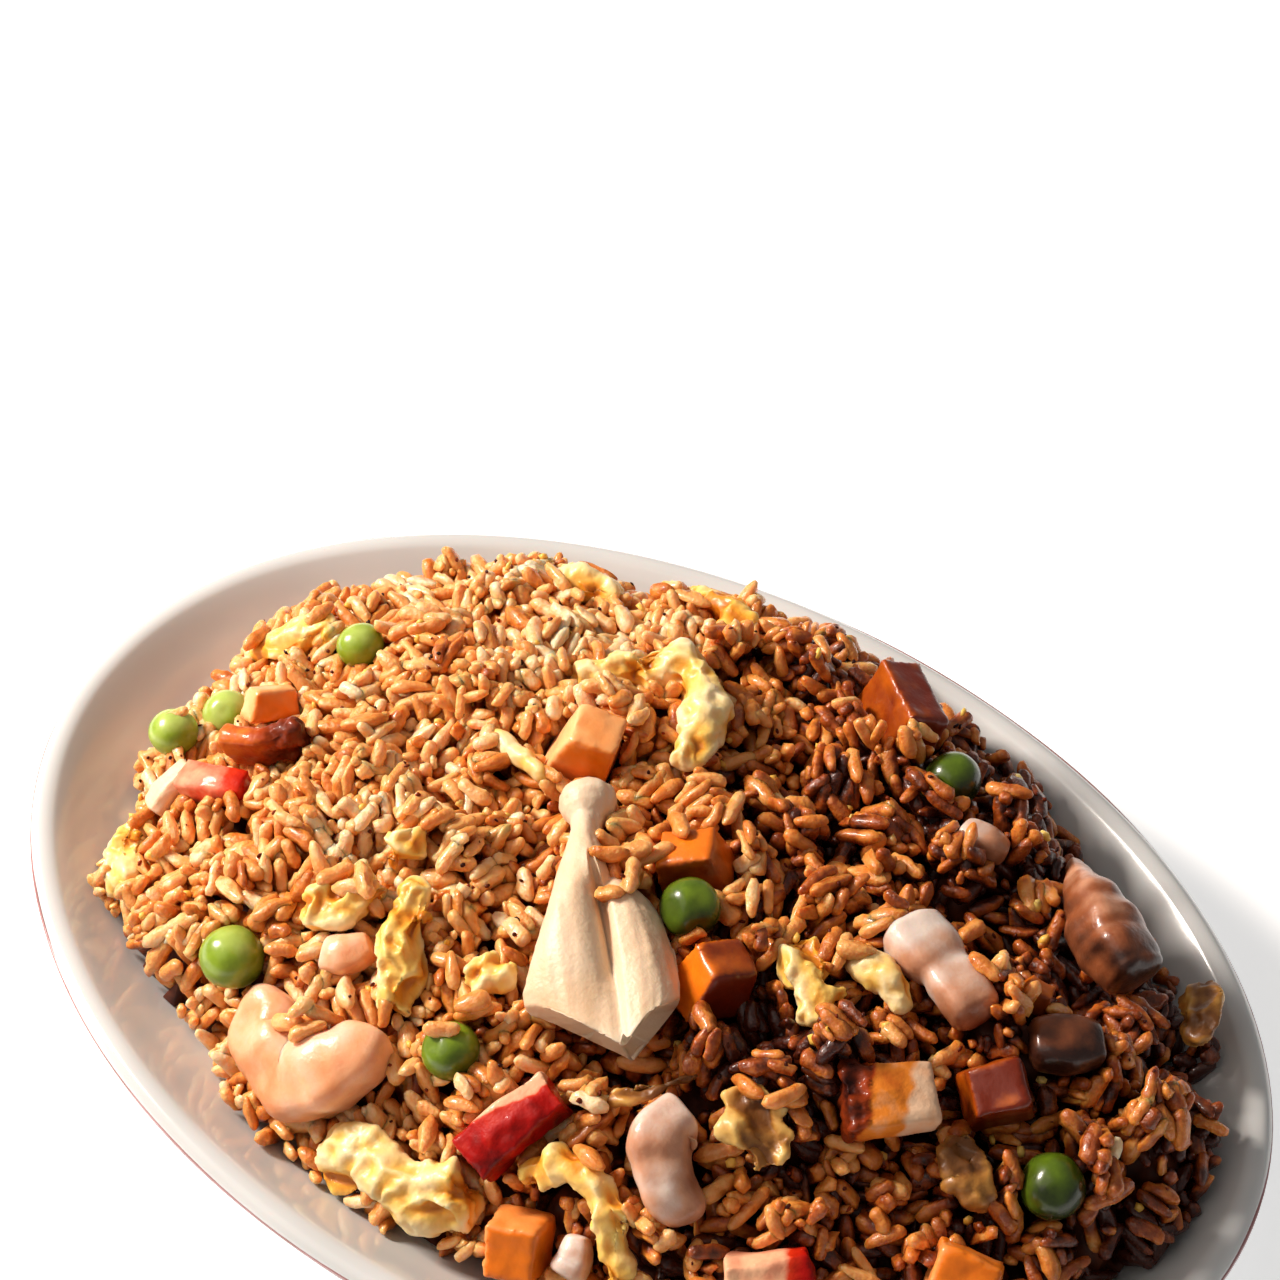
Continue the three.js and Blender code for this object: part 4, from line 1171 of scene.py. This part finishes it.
def core_body(surface, floor, core_cells):
    """Closed body between a floor and a surface, over the cells in the mask."""
    number = np.cumsum(core_cells).reshape(core_cells.shape) - 1
    count = int(core_cells.sum())
    quads = core_cells[:-1, :-1] & core_cells[1:, :-1] & core_cells[:-1, 1:] & core_cells[1:, 1:]
    corners = [number[:-1, :-1], number[:-1, 1:], number[1:, 1:], number[1:, :-1]]
    lid = np.stack([corner[quads] for corner in corners], 1)
    edges = np.concatenate([lid[:, [i, (i + 1) % 4]] for i in range(4)])
    both = {(int(a), int(b)) for a, b in edges}
    rim = np.array([edge for edge in both if edge[::-1] not in both])
    walls = np.stack([rim[:, 1], rim[:, 0], rim[:, 0] + count, rim[:, 1] + count], 1)
    faces = np.concatenate([lid, lid[:, ::-1] + count, walls])
    points = np.concatenate([surface[core_cells], floor[core_cells]])
    used = np.unique(faces)
    return points[used], np.searchsorted(used, faces)


shapes = grain_shapes()
blocked = under_toppings([points for points, _ in made_toppings.values()])
body, skin = joined(list(made_toppings.values()))
on_toppings = fall_on_mesh(body, skin, coarse_xs, coarse_ys)
on_toppings = np.nan_to_num(on_toppings, nan=-50.0)
on_toppings = finer(on_toppings, coarse_xs, coarse_ys, xs, ys)
floor_here = np.where(blocked & (on_toppings > 0), np.maximum(core_top, on_toppings), core_top)
banked = soften(2.2 * (widen(blocked, 5) & ~blocked), 3)
grains, pile_top, piled = pile_grains(heap + banked, floor_here, blocked)
# Grains darker towards the heap's right side, which faces away from the lamp: painted shade
away = grains[:, 0] + 0.6 * grains[:, 1]
tone = 0.69 - 0.28 * np.clip((away + 15) / 50, 0, 1) - 0.2 * np.clip((away - 32) / 40, 0, 1)
# Painted shadow of the chicken on the grains
for x, y, wide, less in CHICKEN_SHADOW_PAINT:
    tone = tone - less * np.exp(-((grains[:, 0] - x) ** 2 + (grains[:, 1] - y) ** 2) / wide ** 2)
tone = tone + 0.1 * smooth_noise(grains[:, :3], 22, 6)
tone = np.clip(tone + rng.normal(0, 0.13, len(grains)), 0, 1)
tone[piled:] = 0.35 + 0.4 * tone[piled:]
open_top = soften(pile_top, 10)
groups = np.array_split(np.argsort(tone), len(RICE_KINDS))
for kind, group in zip(RICE_KINDS, groups):
    points, faces = grain_mesh(grains[group], shapes)
    here = cell_of(points[:, 0], points[:, 1])
    # Grains that lie lower under the pile's open top are darker: painted shade of the gaps
    depth = np.clip((open_top[here] - points[:, 2] + 0.6) / 4.5, 0, 1)
    tones = np.repeat(tone[group], shapes.shape[1]) - (GAP_SHADE + RIGHT_GAP_SHADE * loose[here]) * depth
    tones = tones + 0.12 * smooth_noise(points, 1.3, 9)
    rice = mesh_object(f"rice_{kind}", points, faces, rice_starch, "rice", tones)
    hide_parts("rice")

# Crumbs of egg and browned flecks caught between the grains: size, count, material and tone
CRUMBS = [
    ("egg_crumbs", 1.0, 70, egg_curd, "egg", 0.4),
    ("browned_flecks", 0.5, 300, pork_caramel, "rice", 0.05),
]

for name, size, count, material, slot, tone_of in CRUMBS:
    rows, columns = np.nonzero(in_heap & deep_enough & ~blocked)
    bodies = []
    for place in rng.integers(0, len(rows), count):
        row, column = rows[place], columns[place]
        centre = (xs[column], ys[row], pile_top[row, column] - 0.2 * size)
        radii = size * rng.uniform(0.5, 1.2, 3) * [1, 1, 0.6]
        body, shape = ball(centre, radii, 1, rng.uniform(0, 6, 3))
        bodies.append((roughened(body, shape, 0.7 * size, 0.3 * size, 5), shape))
    points, faces = joined(bodies)
    mesh_object(name, points, faces, material, slot, tone_of + 0.2 * smooth_noise(points, 2, 6))

# Dark core under the grains: painted shade that shows through the gaps between them
rough = 1.1 * smooth_noise(places, 3.0, 5).reshape(heap.shape) - 0.4
surface = np.maximum(core_top + rough, plate_top + 0.5)
some = (slice(None, None, CORE_STEP), slice(None, None, CORE_STEP))
lid_points = np.stack([grid_x, grid_y, surface], 2)[some]
floor_points = np.stack([grid_x, grid_y, plate_top + 0.15], 2)[some]
points, faces = core_body(lid_points, floor_points, deep_enough[some])
core = mesh_object("rice_core", points, faces, core_shade_material, "rice")
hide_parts("rice")


# Camera, light and floor, in metres

CAMERA_PLACE = (0.15017, -0.19675, 0.32948)
CAMERA_TARGET = (-0.03209, 0.04777, 0.0245)
CAMERA_LENS = 73.125
LIGHT_TARGET = (0, 0, 0.02)
FLOOR_REACH = 3


def aim(made, target):
    """Turns a camera or light towards a place."""
    made.rotation_euler = (Vector(target) - made.location).to_track_quat("-Z", "Y").to_euler()


def soft_light(name, place, size, power, colour):
    """Square light aimed at the plate."""
    lamp = bpy.data.lights.new(name, "AREA")
    lamp.size = size
    lamp.energy = power
    lamp.color = linear(colour)[:3]
    made = bpy.data.objects.new(name, lamp)
    made.location = place
    bpy.context.scene.collection.objects.link(made)
    aim(made, LIGHT_TARGET)


camera = bpy.data.objects.new("camera", bpy.data.cameras.new("camera"))
bpy.context.scene.collection.objects.link(camera)
camera.location = CAMERA_PLACE
camera.data.lens = CAMERA_LENS
aim(camera, CAMERA_TARGET)
bpy.context.scene.camera = camera

soft_light("window", (-0.46, -0.13, 0.4), 0.14, 6.0, "#FFF3E8")
soft_light("reflector", (-0.35, -0.6, 0.9), 0.9, 2.1, "#FFF2E6")
world = bpy.data.worlds.new("room")
world.use_nodes = True
world.node_tree.nodes["Background"].inputs["Color"].default_value = linear("#F4F2F0")
world.node_tree.nodes["Background"].inputs["Strength"].default_value = 0.24
bpy.context.scene.world = world
bpy.context.scene.view_settings.view_transform = "Standard"

floor_mesh = bpy.data.meshes.new("floor")
corners = [(-1, -1, 0), (1, -1, 0), (1, 1, 0), (-1, 1, 0)]
floor_mesh.from_pydata([[FLOOR_REACH * v for v in corner] for corner in corners], [], [(0, 1, 2, 3)])
floor = bpy.data.objects.new("floor", floor_mesh)
bpy.context.scene.collection.objects.link(floor)
floor_paint = new_material("matt_white_floor", lambda tree, place: {
    "Base Color": linear("#F4F4F4"), "Roughness": 0.9,
    "Emission Color": linear("#FFFFFF"), "Emission Strength": 0.45})
floor_mesh.materials.append(floor_paint)
floor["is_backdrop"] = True

low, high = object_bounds()
